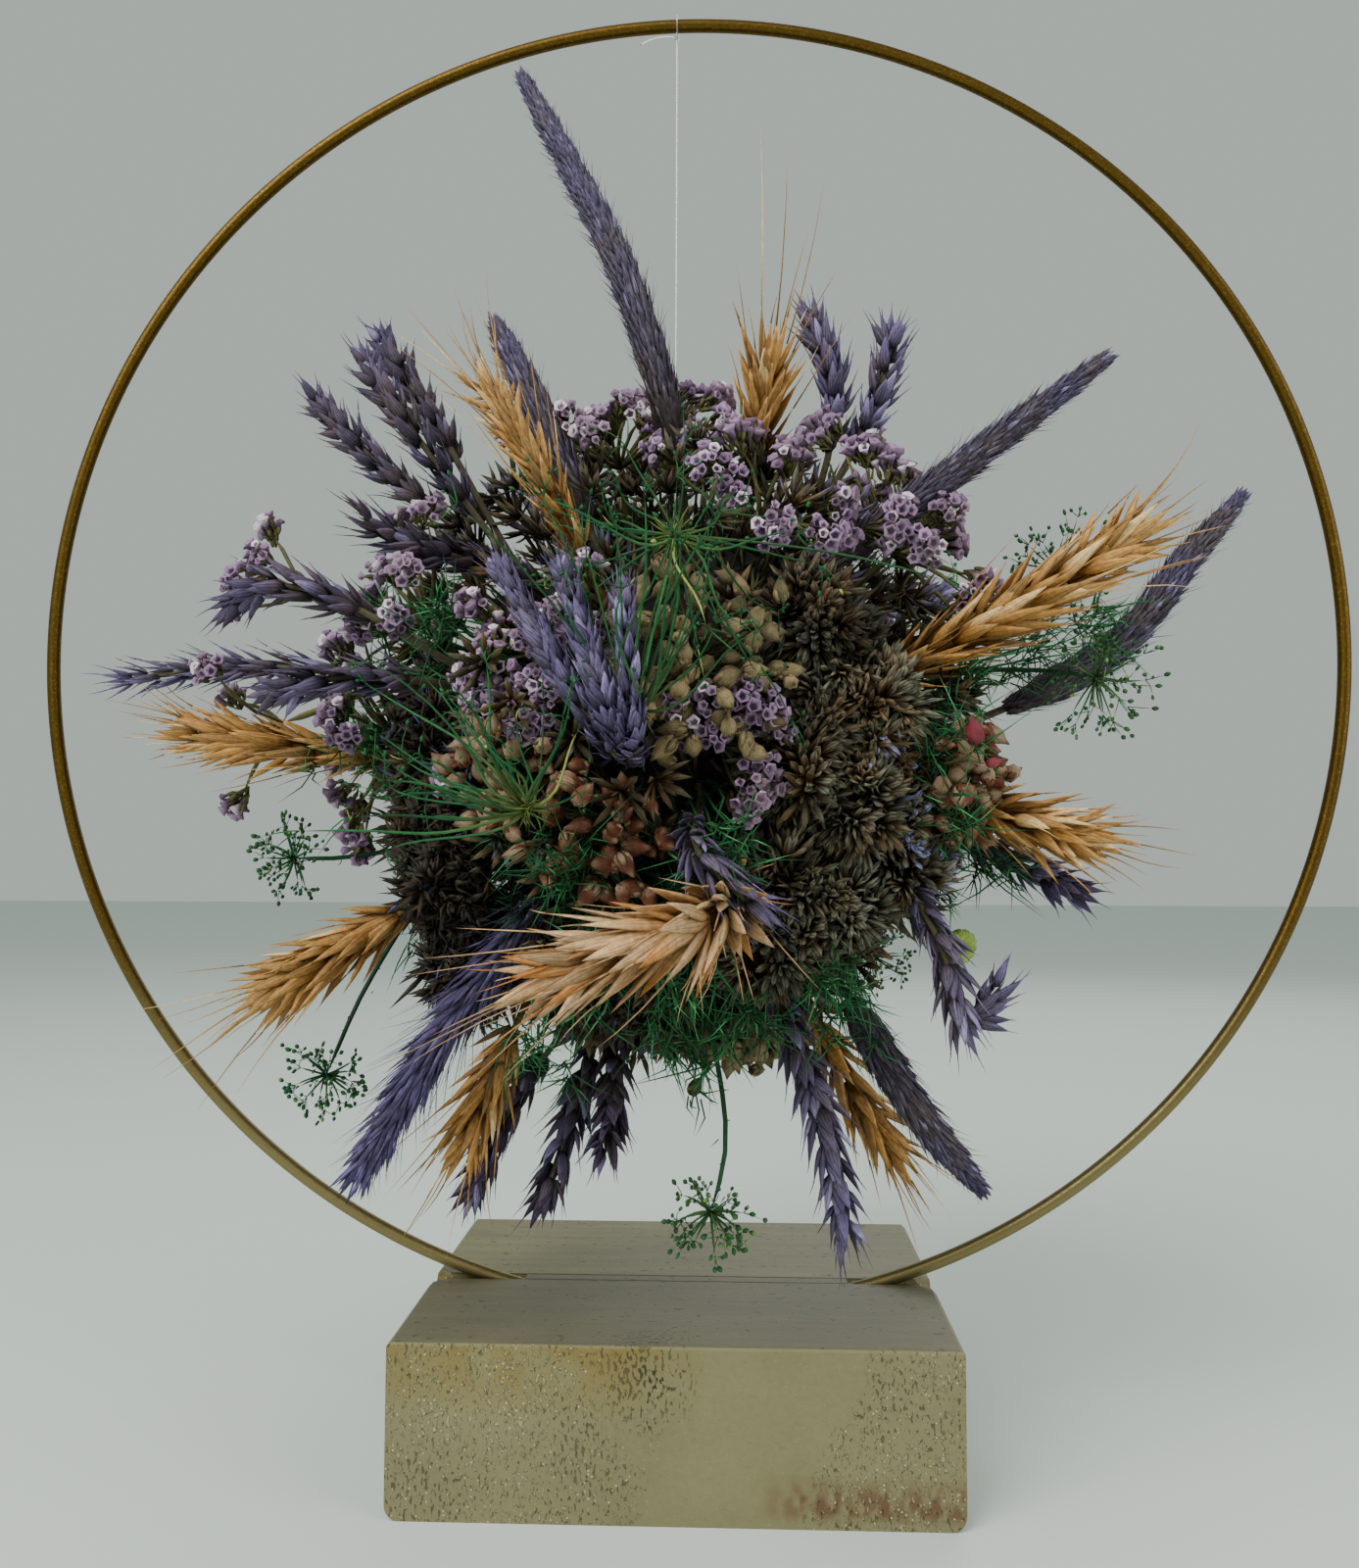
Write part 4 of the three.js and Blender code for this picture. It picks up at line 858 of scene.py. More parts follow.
def statice_head(head, angle, clusters):
    """Clusters over a cap of the head's angle. In a cluster the cups stand at golden turns, as
    far off as the square root of their number, and sink by 0.16 of the square of that."""
    hub, middle, facing = seats(head, angle, clusters, 0.06, (1.5, 7), 0.15)
    turn = (np.arange(CUPS) * GOLDEN_TURN + rng.uniform(0, ANY_TURN, (clusters, 1)))[..., None]
    off = (CUP_SPREAD * np.sqrt(np.arange(CUPS) + 0.3) / math.sqrt(CUPS))[None, :, None] * 1.35
    aside = sideways(facing[:, None], turn)
    tops = (middle[:, None] + aside * off - facing[:, None] * off**2 * 0.16).reshape(-1, 3)
    look = unit(facing[:, None] + aside * off * 0.17 + 0.16 * rng.normal(size=aside.shape)).reshape(-1, 3)
    tops = tops + look * rng.uniform(-2.0, 0.9, (len(tops), 1))
    size = rng.uniform(0.48, 0.8, len(tops))
    foot = tops - look * CUP_LENGTH * size[:, None]
    fork = np.repeat(middle - facing * FORK_DEPTH, CUPS, 0)
    bracts = along_line(foot - look * 1.5, look, np.full(len(foot), 3.0))
    wide, thick = np.array([0.25, 0.62, 0.6, 0.2]), np.array([0.25, 0.6, 0.56, 0.2])
    bracts = strands(bracts, wide, thick, sides=3, part=0.0)
    return [
        bent_stalks(hub, middle - facing * STALK_DEPTH, 0.46, 0.08, 4),
        bent_stalks(fork, foot, 0.24, 0.1, 3, 3),
        bracts,
        scatter(CUP, foot, look, size, crumple=0.09),
    ]


STATICE_CAPS = {"statice_front": (0.24, 16), "statice_centre": (0.2, 14), "statice_left": (0.38, 14)}
SPRAYS = {"statice_left": [(-99, -24, 36), (-106, -18, 2)], "statice_front": [(-37, -62, 16), (-36, -64, 0)]}
SPRAY_CAP = (0.17, 5)
for name, (root, heads) in STATICE.items():
    head_cap = STATICE_CAPS.get(name, (0.42, 22 if len(heads) == 1 else 9))
    sprays = SPRAYS.get(name, [])
    parts = []
    for head in [*heads, *sprays]:
        parts += statice_head(head, *(SPRAY_CAP if head in sprays else head_cap))
        parts.append(head_stem(root, head))
    fine_bunch(name, parts, "lilac_statice")
tell("with the statice:")

# %% [markdown]
# Flax bolls
# A flax boll is an egg-shaped, ribbed seed capsule with a point, held by dried papery sepals
# that hug it to half its height. Two bunches are pinkish, with red-brown bolls among them.

# %% Flax bunch
BOLL = lathe(
    [(0.5, 0.0, 0.1), (1.75, 0.8, 0.3), (2.2, 2.4, 0.6), (1.95, 4.0, 0.8), (0.9, 5.6, 0.6), (0.12, 7.0, 0.2)],
    12,
    6,
    (0, 0.06, 0.1, 0.12, 0.15, 0),
)
BOLL_LENGTH = 6.6
SEPALS = 5
SEPAL = np.array([0.6, 1.05, 0.8, 0.06]) * 0.9


def flax_head(head, angle, count, tones):
    """Bolls over a cap of the head's angle, each with its sepals at equal turns round its foot."""
    hub, tops, facing = seats(head, angle, count, 0.035, (0, 8), 0.5)
    size = rng.uniform(0.6, 0.9, count)
    tone = rng.uniform(*tones, count)
    foot = tops - facing * BOLL_LENGTH * size[:, None]
    parts = [
        bent_stalks(hub, foot, 0.3, 0.1),
        scatter(BOLL, foot, facing, size, tone, crumple=0.07),
    ]
    for turn in equal_turns(SEPALS):
        side = sideways(facing, turn)
        start = foot + side * 1.1 * size[:, None]
        open_by = rng.uniform(0.5, 0.8, (count, 1))
        reach = rng.uniform(3.2, 5.4, count) * size
        sepal = along_line(start, unit(facing + side * open_by), reach, side * -1.6, 4)
        shades = {"tone": 1 - tone * 0.7, "along": 0.9}
        parts.append(strands(sepal, SEPAL, SEPAL * 0.2, side, 4, cup=-0.5, **shades))
    return parts


PINK_TONES = {"flax_left": [(0.0, 0.45), (0.58, 1.0)], "flax_right": [(0.0, 0.98)]}
for name, (root, heads, angle) in FLAX.items():
    parts = []
    for head, tones in zip(heads, PINK_TONES.get(name, [(0.0, 0.96)] * 2)):
        parts += flax_head(head, angle * 0.9, 70 if len(heads) == 1 else 50, tones)
        parts.append(head_stem(root, head))
    fine_bunch(name, parts, "pinkish_flax" if name in PINK_TONES else "brown_flax")
tell("with the flax:")

# %% [markdown]
# Red buds
# Two small red seed buds stand on stalks of their own beside the right flax bunch.

# %% Red buds
bud_at = np.array([[58.0, -60.0, -7.0], [60.0, -58.0, -10.5]])
bud_ahead = unit(np.array([[-0.2, -0.5, 0.8], [0.9, -0.3, 0.2]]))
bud_stalks = bent_stalks(np.array([[52.0, -44.0, -9.0], [54.0, -44.0, -11.0]]), bud_at, 0.35, 0.1)
buds = scatter(BOLL, bud_at, bud_ahead, np.array([0.85, 0.5]))
make_piece("red_buds", [buds, bud_stalks], dyes["red_bud"])
tell("with the buds:")

# %% [markdown]
# Tufts
# A tuft is a dome of rosettes. On the right they are wide stars of slender curved bracts; on
# the left and below they are tight curls, nearly black, with bluish tips. Dark fuzz fills the
# dome below them, so no gap shows.

# %% Rosettes
def rosettes(
    centre, normal, petals, length, half, open_angle,
    curl=0.25, tone=None, grown=1.0, points=4, twist=0.0, ease=0.6,
):
    """Petals round each centre: a heading leans from the normal by the opening angle, and the
    petal bends back towards the normal by curl and to any side by twist, as shares of its length."""
    turn = np.arange(petals) * 2 * np.pi / petals + rng.uniform(0, ANY_TURN, (len(centre), 1))
    lean = open_angle + 0.15 * rng.normal(size=turn.shape)
    heading, out = leaning(normal, turn, lean)
    up = np.repeat(normal, petals, 0)
    reach = length * rng.uniform(0.75, 1.15, len(heading)) * np.repeat(np.ones(len(centre)) * grown, petals)
    bend = up * curl + twist * rng.normal(size=up.shape)
    line = along_line(np.repeat(centre, petals, 0), heading, reach, bend * reach[:, None], points, ease)
    shape = np.array([0.4, 0.9, 1.0, 0.12] if points == 4 else [0.5, 1.0, 0.12]) * half
    tone = rng.random(len(centre)) if tone is None else tone
    petal_tone = np.clip(np.repeat(tone, petals) + 0.12 * rng.normal(size=len(heading)), -0.45, 1)
    return strands(line, shape, shape * 0.35, unit(up - out), 3, tone=petal_tone)


def fuzz(middle, normal, low, high, thick):
    """Short dark threads that stand on the middle of a dome."""
    reach = rng.uniform(0.5, 1.0, len(normal)) * (high - low)
    heading = unit(normal + 0.3 * rng.normal(size=normal.shape))
    line = along_line(middle + normal * low, heading, reach, points=3)
    tone = rng.uniform(0, 0.4, len(normal))
    return round_strands(line, np.array([1.0, 0.8, 0.15]) * thick, tone=tone, along=0.0)


DOME_DEPTH = 10


def dome(heads, size, count):
    """Places, normals and tones over the heads of a tuft, and where its fuzz stands: an
    ellipsoid round each head, deeper than it is wide, and a few places on the way from one to
    the next, so they grow into one mass. Each head has a tone of its own."""
    places, normals, tones, cores = [], [], [], []
    heads = [np.array(head, float) for head in heads]
    bridges = [((a + b) / 2, count // 3) for a, b in zip(heads, heads[1:])]
    for out, number in [(head, count) for head in heads] + bridges:
        reach = np.linalg.norm(out)
        axis = out / reach
        middle = axis * (reach - DOME_DEPTH)
        normal = cap(axis, 2.1 if number == count else 1.3, number, 0.16)
        along = (normal @ axis)[:, None] * axis
        lift = rng.uniform(-2.4, 1.2, (number, 1))
        places.append(middle + along * 6.5 + (normal - along) * size * 0.8 + normal * lift)
        normals.append(normal)
        own_tone = np.clip(rng.uniform(0.1, 0.75) + 0.22 * rng.normal(size=number), 0, 1)
        # A rosette sunk below the dome gets a lower tone and so a darker colour: painted shade in the hollows
        # between rosettes.
        tones.append(own_tone + 0.22 * np.minimum(lift[:, 0], 0))
        cores.append((middle, cap(axis, 2.3, 90 if number == count else 40, 0.1)))
    return np.concatenate(places), np.concatenate(normals), np.concatenate(tones), cores


# %% Stars and curls
STARS, CURLS = 20, 51
STAR_RINGS = ((9, 5.7, 1.02, 1.28, 0.2), (7, 4.9, 0.92, 0.85, 0.6), (5, 3.7, 0.72, 0.42, 1.0))
CURL_RINGS = ((1.2, 6, 3.1, 0.8, 1.2, 1.0), (0.4, 4, 2.2, 0.6, 0.6, 0.6))


def star_tuft(heads, size, painted_shade_above=90.0, darker=0.0):
    """Three rings of bracts at each place of the dome. Above a height they get darker, by 0.75
    over 9 mm: painted shade on the tuft's upper part."""
    place, normal, tone, cores = dome(heads, size, STARS)
    tone = tone - darker - 0.75 * np.clip((place[:, 2] - painted_shade_above) / 9, 0, 1)
    normal = unit(normal + 0.34 * rng.normal(size=normal.shape))
    grown = rng.uniform(0.75, 1.2, len(place))
    parts = [fuzz(middle, up, size * 0.4, size * 0.9, 0.42) for middle, up in cores]
    for petals, length, half, open_angle, lift in STAR_RINGS:
        start = place - normal * (2 - lift)
        parts.append(rosettes(start, normal, petals, length, half, open_angle, 0.48, tone, grown, twist=0.08))
    return parts


def curly_tuft(heads, size):
    """An open and a closed curl at each place of the dome, in any size and direction."""
    place, normal, tone, cores = dome(heads, size + 1, CURLS)
    normal = unit(normal + 0.5 * rng.normal(size=normal.shape))
    tone = np.clip(tone + 0.25 * rng.normal(size=len(tone)), -0.2, 1)
    grown = rng.uniform(0.6, 1.35, len(place))
    parts = [fuzz(middle, up, size * 0.4, size * 0.85, 0.45) for middle, up in cores]
    for sunk, petals, length, half, open_angle, curl in CURL_RINGS:
        start = place - normal * sunk
        shape = (petals, length, half, open_angle, curl)
        parts.append(rosettes(start, normal, *shape, tone, grown, 3, 0.45, 0.7))
    return parts


TUFT_HUB = 12
CURLY = ("tuft_left", "tuft_bottom")
# For tuft_right the tone falls above 6 mm: painted shade on its upper part.
DARKER = {"tuft_right": (6.0, 0.0), "tuft_lower_right": (90.0, 0.4)}
SIDE_SHOOTS = {
    "tuft_right": [(36, -55, 18), (30, -64, -14), (43, -55, 6), (52, -45, -14), (54, -42, -33)],
    "tuft_lower_right": [(24, -60, -38)],
    "tuft_left": [(-57, -42, -6), (-46, -46, -19), (-50, -38, -42), (-43, -38, -53), (-48, -34, -60)],
}
for name, (root, heads, size) in TUFTS.items():
    grown = [*heads, *SIDE_SHOOTS.get(name, [])]
    curly = name in CURLY
    parts = curly_tuft(grown, size) if curly else star_tuft(grown, size, *DARKER.get(name, ()))
    parts += [head_stem(root, head, TUFT_HUB, 0.8) for head in heads]
    fine_bunch(name, parts, "dark_curls" if curly else "grey_tufts")
tell("with the tufts:")

# %% [markdown]
# Dill
# A dried dill umbel opens like a bird's nest: rays bow out from the stem's end, and each
# splits into short rays with a seed. Its leaves are bunches of soft green threads.

# %% Threads of a leaf
def thread_leaves(places, normal, length, count, radius):
    """Soft threads that leave each place in all directions round its normal."""
    start = np.repeat(places, count, 0) + rng.normal(size=(len(places) * count, 3)) * 0.8
    heading = unit(np.repeat(normal, count, 0) * 0.7 + rng.normal(size=start.shape) * 0.6)
    reach = length * rng.uniform(0.5, 1.1, len(start))
    curl = rng.normal(size=start.shape) * 0.45 * reach[:, None]
    return round_strands(along_line(start, heading, reach, curl, 3), radius)


# %% Umbel
RAYS, SMALL_RAYS = 28, 4


def umbel(root, path, ray, leafy):
    """Rays over a wide cap round the stem's end, which bow forward by 0.15 of their length.
    Each splits into small rays at golden turns, with a seed on each."""
    line = stem_line(root, path)
    line = line[: int(LINE_POINTS * (1 - 0.4 * ray / line_length(line)))]
    end, ahead = on_line(line, np.array([1.0]))
    heading = cap(ahead[0], 2.2, RAYS, 0.12)
    length = 0.75 * ray * rng.uniform(0.75, 1.0, RAYS)
    forward = ahead * 0.15 * length[:, None] + 0.08 * ray * rng.normal(size=heading.shape)
    main = along_line(end - 0.3 * ahead, heading, length, forward, 5)
    turn = np.arange(SMALL_RAYS) * GOLDEN_TURN + rng.uniform(0, ANY_TURN, (RAYS, 1))
    lean = rng.uniform(0.2, 1.2, (RAYS, SMALL_RAYS))
    tip, tip_ahead = ends(main)
    fine, _ = leaning(tip_ahead, turn, lean)
    fine_length = rng.uniform(0.1, 0.3, len(fine)) * min(ray, 12)
    curl = rng.normal(size=fine.shape) * 0.3 * fine_length[:, None]
    threads = along_line(np.repeat(tip, SMALL_RAYS, 0), fine, fine_length, curl, 4)
    seed_at, seed_ahead = ends(threads)
    seed_start = seed_at - 0.2 * seed_ahead
    seed = np.array([0.2, 0.46, 0.44, 0.1])
    twig, twig_ahead = on_line(line, np.linspace(0.4, 0.95, 9))
    twig_side = unit(np.cross(twig_ahead, rng.normal(size=twig.shape)) + 0.5 * twig_ahead)
    return [
        stem(line, thick=(0.8, 0.45)),
        thread_leaves(twig, twig_side, 6.0 if leafy else 1.5, 6 if leafy else 1, 0.13),
        round_strands(main, np.linspace(0.26, 0.15, 5), 4, along=0.3),
        round_strands(threads, 0.1, along=0.5),
        strands(along_line(seed_start, seed_ahead, rng.uniform(0.9, 1.5, len(fine))), seed, seed * 0.75),
    ]


# %% Nest of long rays
NEST_FRONT = 102
NEST_POINTS = 9
BURRS = 36


def nest(hub, axis, angle, rays, shortest, longest, droop):
    """Long wiry rays that leave a hub over a wide cap, bow towards one side and sway. What
    would reach in front of the nest's limit is drawn back to a quarter of that."""
    heading = cap(axis, angle, rays, 0.12)
    length = rng.uniform(shortest, longest, rays)
    bend = (1.6 * np.array(droop) + 0.22 * rng.normal(size=heading.shape)) * length[:, None]
    main = along_line(np.array([hub], float), heading, length, bend, NEST_POINTS)
    sway = np.sin(np.linspace(0, 5.5, NEST_POINTS))[None, :, None] * rng.normal(size=(rays, 1, 3)) * 0.055
    main = main + sway * length[:, None, None]
    main[..., 1] = np.maximum(main[..., 1], 0.25 * main[..., 1] - 0.75 * NEST_FRONT)
    tip, tip_ahead = (np.repeat(of_ray, SMALL_RAYS, 0) for of_ray in ends(main))
    fine = unit(tip_ahead + 0.9 * rng.normal(size=tip.shape))
    fine_length = rng.uniform(2.0, 5.0, len(tip))
    curl = rng.normal(size=tip.shape) * 0.6 * fine_length[:, None]
    threads = along_line(tip, fine, fine_length, curl, 4)
    seed_at, seed_ahead = ends(threads)
    burr_heading = cap(axis, 1.6, BURRS, 0.3)
    burr_curl = rng.normal(size=burr_heading.shape) * 2.0
    parts = [
        round_strands(main, np.linspace(0.34, 0.17, NEST_POINTS), 4, along=1.0, own=0.6),
        round_strands(threads, 0.13, along=0.95),
    ]
    seeds = along_line(seed_at, seed_ahead, rng.uniform(0.7, 1.2, len(tip)), points=3)
    parts.append(round_strands(seeds, np.array([0.3, 0.34, 0.08]), along=1.0))
    burrs = along_line(main[:1, 0], burr_heading, rng.uniform(2.0, 4.6, BURRS), burr_curl, 4)
    parts.append(round_strands(burrs, 0.17, along=rng.uniform(0.0, 0.5, BURRS), own=0.1))
    return parts


NESTS = {
    "dill_upper": [
        ((3, -77, 28), (0.55, -0.25, -0.5), 1.0, 12, 18, 32, (0.05, -0.1, 0.0)),
        ((3, -77, 28), (-0.7, -0.1, 0.1), 0.9, 9, 9, 18, (-0.1, 0.0, 0.1)),
        ((-3, -80, -3), (0.1, -0.3, 0.9), 1.05, 20, 18, 31, (0.05, -0.15, 0.25)),
    ],
    "dill_left": [
        ((-22, -80, -20), (-0.9, -0.1, 0.3), 0.95, 18, 16, 36, (-0.1, 0.0, 0.12)),
        ((-22, -80, -20), (0.35, -0.2, 0.85), 0.9, 10, 9, 18, (-0.1, -0.05, 0.2)),
    ],
}
LEAFY = ("dill_right", "dill_back")
for name, (root, paths, ray) in UMBELS.items():
    if name in NESTS:
        line = stem_line(root, paths[0])
        hubs = np.array([hub for hub, *_ in NESTS[name]], float)
        parts = [stem(line, thick=(0.8, 0.5))]
        parts.append(bent_stalks(line[-1] + 0.01, hubs, 0.4, 0.1))
        parts += [part for shape in NESTS[name] for part in nest(*shape)]
    else:
        parts = [part for path in paths for part in umbel(root, path, ray, name in LEAFY)]
    fine_bunch(name, parts, "yellow_green_dill" if name in NESTS else "green_dill")
tell("with the umbels:")

# %% Dill leaves
SPRIGS, LEAF_HUB = 40, 17
for name, (root, heads, angle) in DILL_LEAVES.items():
    parts = []
    for head in heads:
        reach = np.linalg.norm(head)
        normal = cap(head, angle * 1.3, SPRIGS, 0.05)
        places = normal * rng.uniform(reach - 16, reach - 4, SPRIGS)[:, None]
        parts.append(thread_leaves(places, normal, 6.5, 19, 0.14))
        parts.append(bent_stalks(below(head, LEAF_HUB), places, 0.25, 0.1, part=1.0))
        parts.append(head_stem(root, head, LEAF_HUB))
    fine_bunch(name, parts, "green_dill_leaf")

# %% [markdown]
# Loose dill leaf
# Soft green leaf also shows between the bunches. Each clump is nine small sprigs on short
# stalks of their own that stand in the foam.

# %% Clumps of loose leaf
CLUMPS = np.array(
    [
        (-42, -50, 17), (32, -56, -51), (54, -46, -5), (57, -44, -20), (67, -30, -28), (-17, -66, -32),
        (9, -75, -27), (2, -57, -56), (14, -59, -57), (-10, -61, -50), (-63, -32, -3), (4, -46, -67),
        (-23, -46, -64), (34, -48, -60), (60, -36, 10), (74, -28, 16), (88, -26, 20), (-58, -30, 22),
        (0, 60, 40), (-50, 40, -30), (50, 46, 20), (20, 66, -26), (-34, 56, 26), (62, 22, 8),
        (50, 14, 40), (58, 8, -34), (-62, 18, 6), (-50, 20, 42), (-54, 6, -40),
    ],
    float,
)
CLUMP_SPRIGS = 9
places = np.repeat(CLUMPS, CLUMP_SPRIGS, 0) + rng.normal(size=(len(CLUMPS) * CLUMP_SPRIGS, 3)) * 3.2
normal = unit(places)
stray = [
    thread_leaves(places, normal, 8.0, 9, 0.19),
    bent_stalks(normal * FOAM_RADIUS, places, 0.3, 0.12, part=1.0),
]
make_piece("stray_dill", stray, dyes["stray_dill_leaf"])
tell("with the dill:")

# %% [markdown]
# Mallow fruit
# The one lime-green disc is a mallow fruit: a wheel of seed segments round a dimple.

# %% Mallow
WHEEL = lathe(
    [
        (1.0, -1.2, 0.2), (3.4, -0.6, 0.4), (4.05, 0.6, 0.8), (4.0, 1.6, 1.0),
        (3.2, 2.3, 0.9), (1.6, 2.2, 0.6), (0.9, 1.7, 0.2), (0.3, 1.6, 0.3),
    ],
    56,
    14,
    (0, 0.04, 0.07, 0.08, 0.05, 0.03, 0, 0),
)
root, head = MALLOW
line = stem_line(root, [head])
end, ahead = on_line(line, np.array([1.0]))
facing = unit(0.7 * ahead + [0.0, -0.7, 0.1])
parts = [stem(line), scatter(WHEEL, end, facing, 1.0, tone=np.array([0.6]))]
fine_bunch("mallow_fruit", parts, "lime_mallow")

# %% [markdown]
# Moss
# Between the bunches the real ball is dark and full: short moss and broken heads cover the
# foam. Thousands of short threads stand on the sphere, and dark rosettes fill the gaps above.
# The moss's dark dye is partly painted shade in the gaps between the bunches.

# %% Moss on the foam
MOSS_COUNT = 3200
MOSS = np.array([0.7, 0.85, 0.06])
normal = cap((0, 0, 1), math.pi, MOSS_COUNT, 0.02)
heading = unit(0.55 * normal + 0.7 * rng.normal(size=normal.shape))
heading = unit(heading + normal * np.maximum(0.25 - (heading * normal).sum(1, keepdims=True), 0))
length = rng.uniform(5, 12, MOSS_COUNT)
curl = normal * rng.uniform(0.5, 3, (MOSS_COUNT, 1)) + 1.5 * rng.normal(size=normal.shape)
moss = along_line(normal * (FOAM_RADIUS - 1.5), heading, length, curl, 3)
make_piece("foam_moss", [strands(moss, MOSS, MOSS * 0.35, normal, sides=3)], dyes["dark_moss_and_painted_shade"])

# %% Dark filler
FILL_COUNT, FILL_BEHIND = 420, 300
fill_normal = cap((0, 0, 1), math.pi, FILL_COUNT, 0.05)
behind = cap((0, 1, 0.1), 2.1, FILL_BEHIND, 0.08)
fill_reach = np.concatenate([rng.uniform(53, 69, FILL_COUNT), rng.uniform(54, 67, FILL_BEHIND)])
fill_normal = np.concatenate([fill_normal, behind])
fill_place = fill_normal * fill_reach[:, None]
fill_look = unit(fill_normal + 0.3 * rng.normal(size=fill_normal.shape))
fill = [
    rosettes(fill_place, fill_look, 8, 7.2, 0.95, 1.1, 0.35, points=3),
    rosettes(fill_place, fill_look, 3, 5.0, 0.7, 0.4, points=3),
    bent_stalks(fill_normal * (FOAM_RADIUS - 2), fill_place, 0.35, 0.08),
]
make_piece("dark_filler", fill, dyes["dark_filler"])
tell("all plants:")
print("most of them in", max(totals, key=totals.get), max(totals.values()))

# %% [markdown]
# Hoop
# The hoop is one round wire bent into a ring and brazed. A ring of small circles carried round
# a large one gives it without facets. Its gold is worn thin in places, and its lower arc turns
# paler towards the block: a painted reflection of the pale table below it.

# %% Ring of wire
def ring(centre, radius, wire, normal, around=360, sides=16):
    """A closed ring: at each angle round the large circle stands a small circle of the wire,
    which lies across the large one. normal is the axis of the large circle."""
    normal = np.array(normal, float)
    out = sideways(normal[None], equal_turns(around)[:, None])
    turn = equal_turns(sides)
    small = out[:, None] * np.cos(turn)[None, :, None] + normal * np.sin(turn)[None, :, None]
    points = np.array(centre, float) + out[:, None] * radius + small * wire
    number = np.arange(around * sides).reshape(around, sides)
    quads = between(number, np.roll(number, -1, 0))
    shade = np.full((around * sides, 4), 0.5, np.float32)
    return points.reshape(-1, 3), quads[:, ::-1], np.empty((0, 3), int), shade


# %% Gold paint
gilt, given, made = new_group("gold_paint", "Base Bright Dark Low", "Speck Wear")
place = object_place(gilt)
height = add(gilt, "ShaderNodeSeparateXYZ", {"Vector": place}).outputs[2]
cloud, speck = noise(place, 38.0, 4.0), noise(place, given["Speck"], 3.0)
flake, _ = cells(place, given["Speck"])
paint = mix(spread(flake, 0.75, 1.0), given["Base"], given["Bright"])
worn = times(spread(plus(cloud, speck), 1.08, 1.3, smooth=True), given["Wear"])
paint = mix(worn, paint, given["Dark"])
# Below 0.12 m the wire turns towards the pale colour: a painted reflection of the table.
paint = mix(spread(height, 0.12, 0.055, 0.0, 0.9, smooth=True), paint, given["Low"])
link(paint, made["Colour"])
link(spread(speck, 0.3, 0.7, 0.3, 0.55), made["Roughness"])
link(speck, made["Height"])

# The fourth colour, 84784f, is the pale lower arc: a painted reflection of the table.
hoop_gold = coated(
    "hoop_gold_paint", gilt, "56400f 6c541e 36270a 84784f", (2600.0, 0.35), (0.1, 0.00005), {"Metallic": 0.85}
)
hoop = [ring(HOOP_CENTRE, HOOP_RADIUS, WIRE_RADIUS, (0, 1, 0))]
make_piece("hoop_wire", hoop, hoop_gold, "hoop", body="holder", centre=np.zeros(3))
tell("with the hoop:")

# %% [markdown]
# Thread
# The clear line goes round the wire in one loop, is knotted below it and runs straight down
# into the foam. It is drawn nylon, so it is nearly invisible except where the light catches it.

# %% Thread
LINE = 0.2
LOOP = WIRE_RADIUS + 0.65
KNOT_RADIUS, STOPPER_RADIUS, STOPPER_DEPTH = 0.5, 0.7, 20
TAIL, TAIL_BOW = np.array([-9.0, 0, -1.8]), np.array([0, -0.6, 1.0])
ball_aside = BALL_CENTRE[0]
PIVOT = np.array([ball_aside, 0.0, math.sqrt(HOOP_RADIUS**2 - ball_aside**2) + HOOP_CENTRE[2]])
knot_at = PIVOT - [0, 0, LOOP + 0.6]
foam_end = np.array([ball_aside, 0.0, BALL_CENTRE[2] + FOAM_RADIUS - STOPPER_DEPTH])
run = np.linspace(PIVOT - [0, 0, LOOP], foam_end, 40)
step = np.linspace(0, 1, 12)[:, None]
tail = knot_at + TAIL * step + TAIL_BOW * step * (1 - step) * 3
knots = []
for k in range(3):
    wrap = knot_at - [0, 0, 0.45 * (k - 1)]
    knots.append(ring(wrap, KNOT_RADIUS, LINE, (0.25 * (k - 1), 0.1, 1), 18, 6))
for k in range(3):
    wrap = foam_end + [0, 0, 1.2 - 0.4 * k]
    knots.append(ring(wrap, STOPPER_RADIUS, LINE, (0.2, 0.1 * k, 1), 18, 6))
clear, tree, shader = new_material("clear_thread")
drawn = noise(object_place(tree), 220.0)
link(spread(drawn, 0.3, 0.7, 0.04, 0.16), shader["Roughness"])
link(mix(drawn, linear("e6ecea"), linear("f6f8f6")), shader["Base Color"])
shader["Transmission Weight"].default_value = 0.9
shader["IOR"].default_value = 1.45
parts = [
    ring(PIVOT, LOOP, LINE, (1, 0, 0), 48, 8),
    round_strands(run[None], LINE, 8),
    round_strands(tail[None], LINE, 6),
    *knots,
]
make_piece("thread_line", parts, clear, "thread", body="thread", centre=np.zeros(3))
tell("with the thread:")

# %% [markdown]
# Block, filler and foam
# These solids have their right shape already, so they stay and get their finish here. The
# block is rough sawn wood under khaki gold paint: dark pits, bright flakes and brown stains.
# The front's paint is rough on the left and at the right end and smooth in a slanting band
# between them. It is gilded at the upper left and rusty at the lower right.

# %% Where the paint is rough
ALONG_GRAIN = (1, 1, 0.55)
SPOT = (-0.006, -0.043, 0.0275)
sponged, given, made = new_group("sponged_paint", "Front Top Flake Pit Gilding Rust")
place = object_place(sponged)
east, north, high = add(sponged, "ShaderNodeSeparateXYZ", {"Vector": place}).outputs
drift = noise(place, 110.0)
top = spread(high, 0.0333, 0.0339)
left_end = spread(plus(east, times(drift, 0.05)), 0.019, 0.009, smooth=True)
slant = plus(east, times(high, -0.47), times(drift, 0.012))
rough = plus(left_end, spread(slant, 0.0265, 0.0305, smooth=True))
rough = times(rough, spread(top, 0.0, 1.0, 1.0, 0.0))

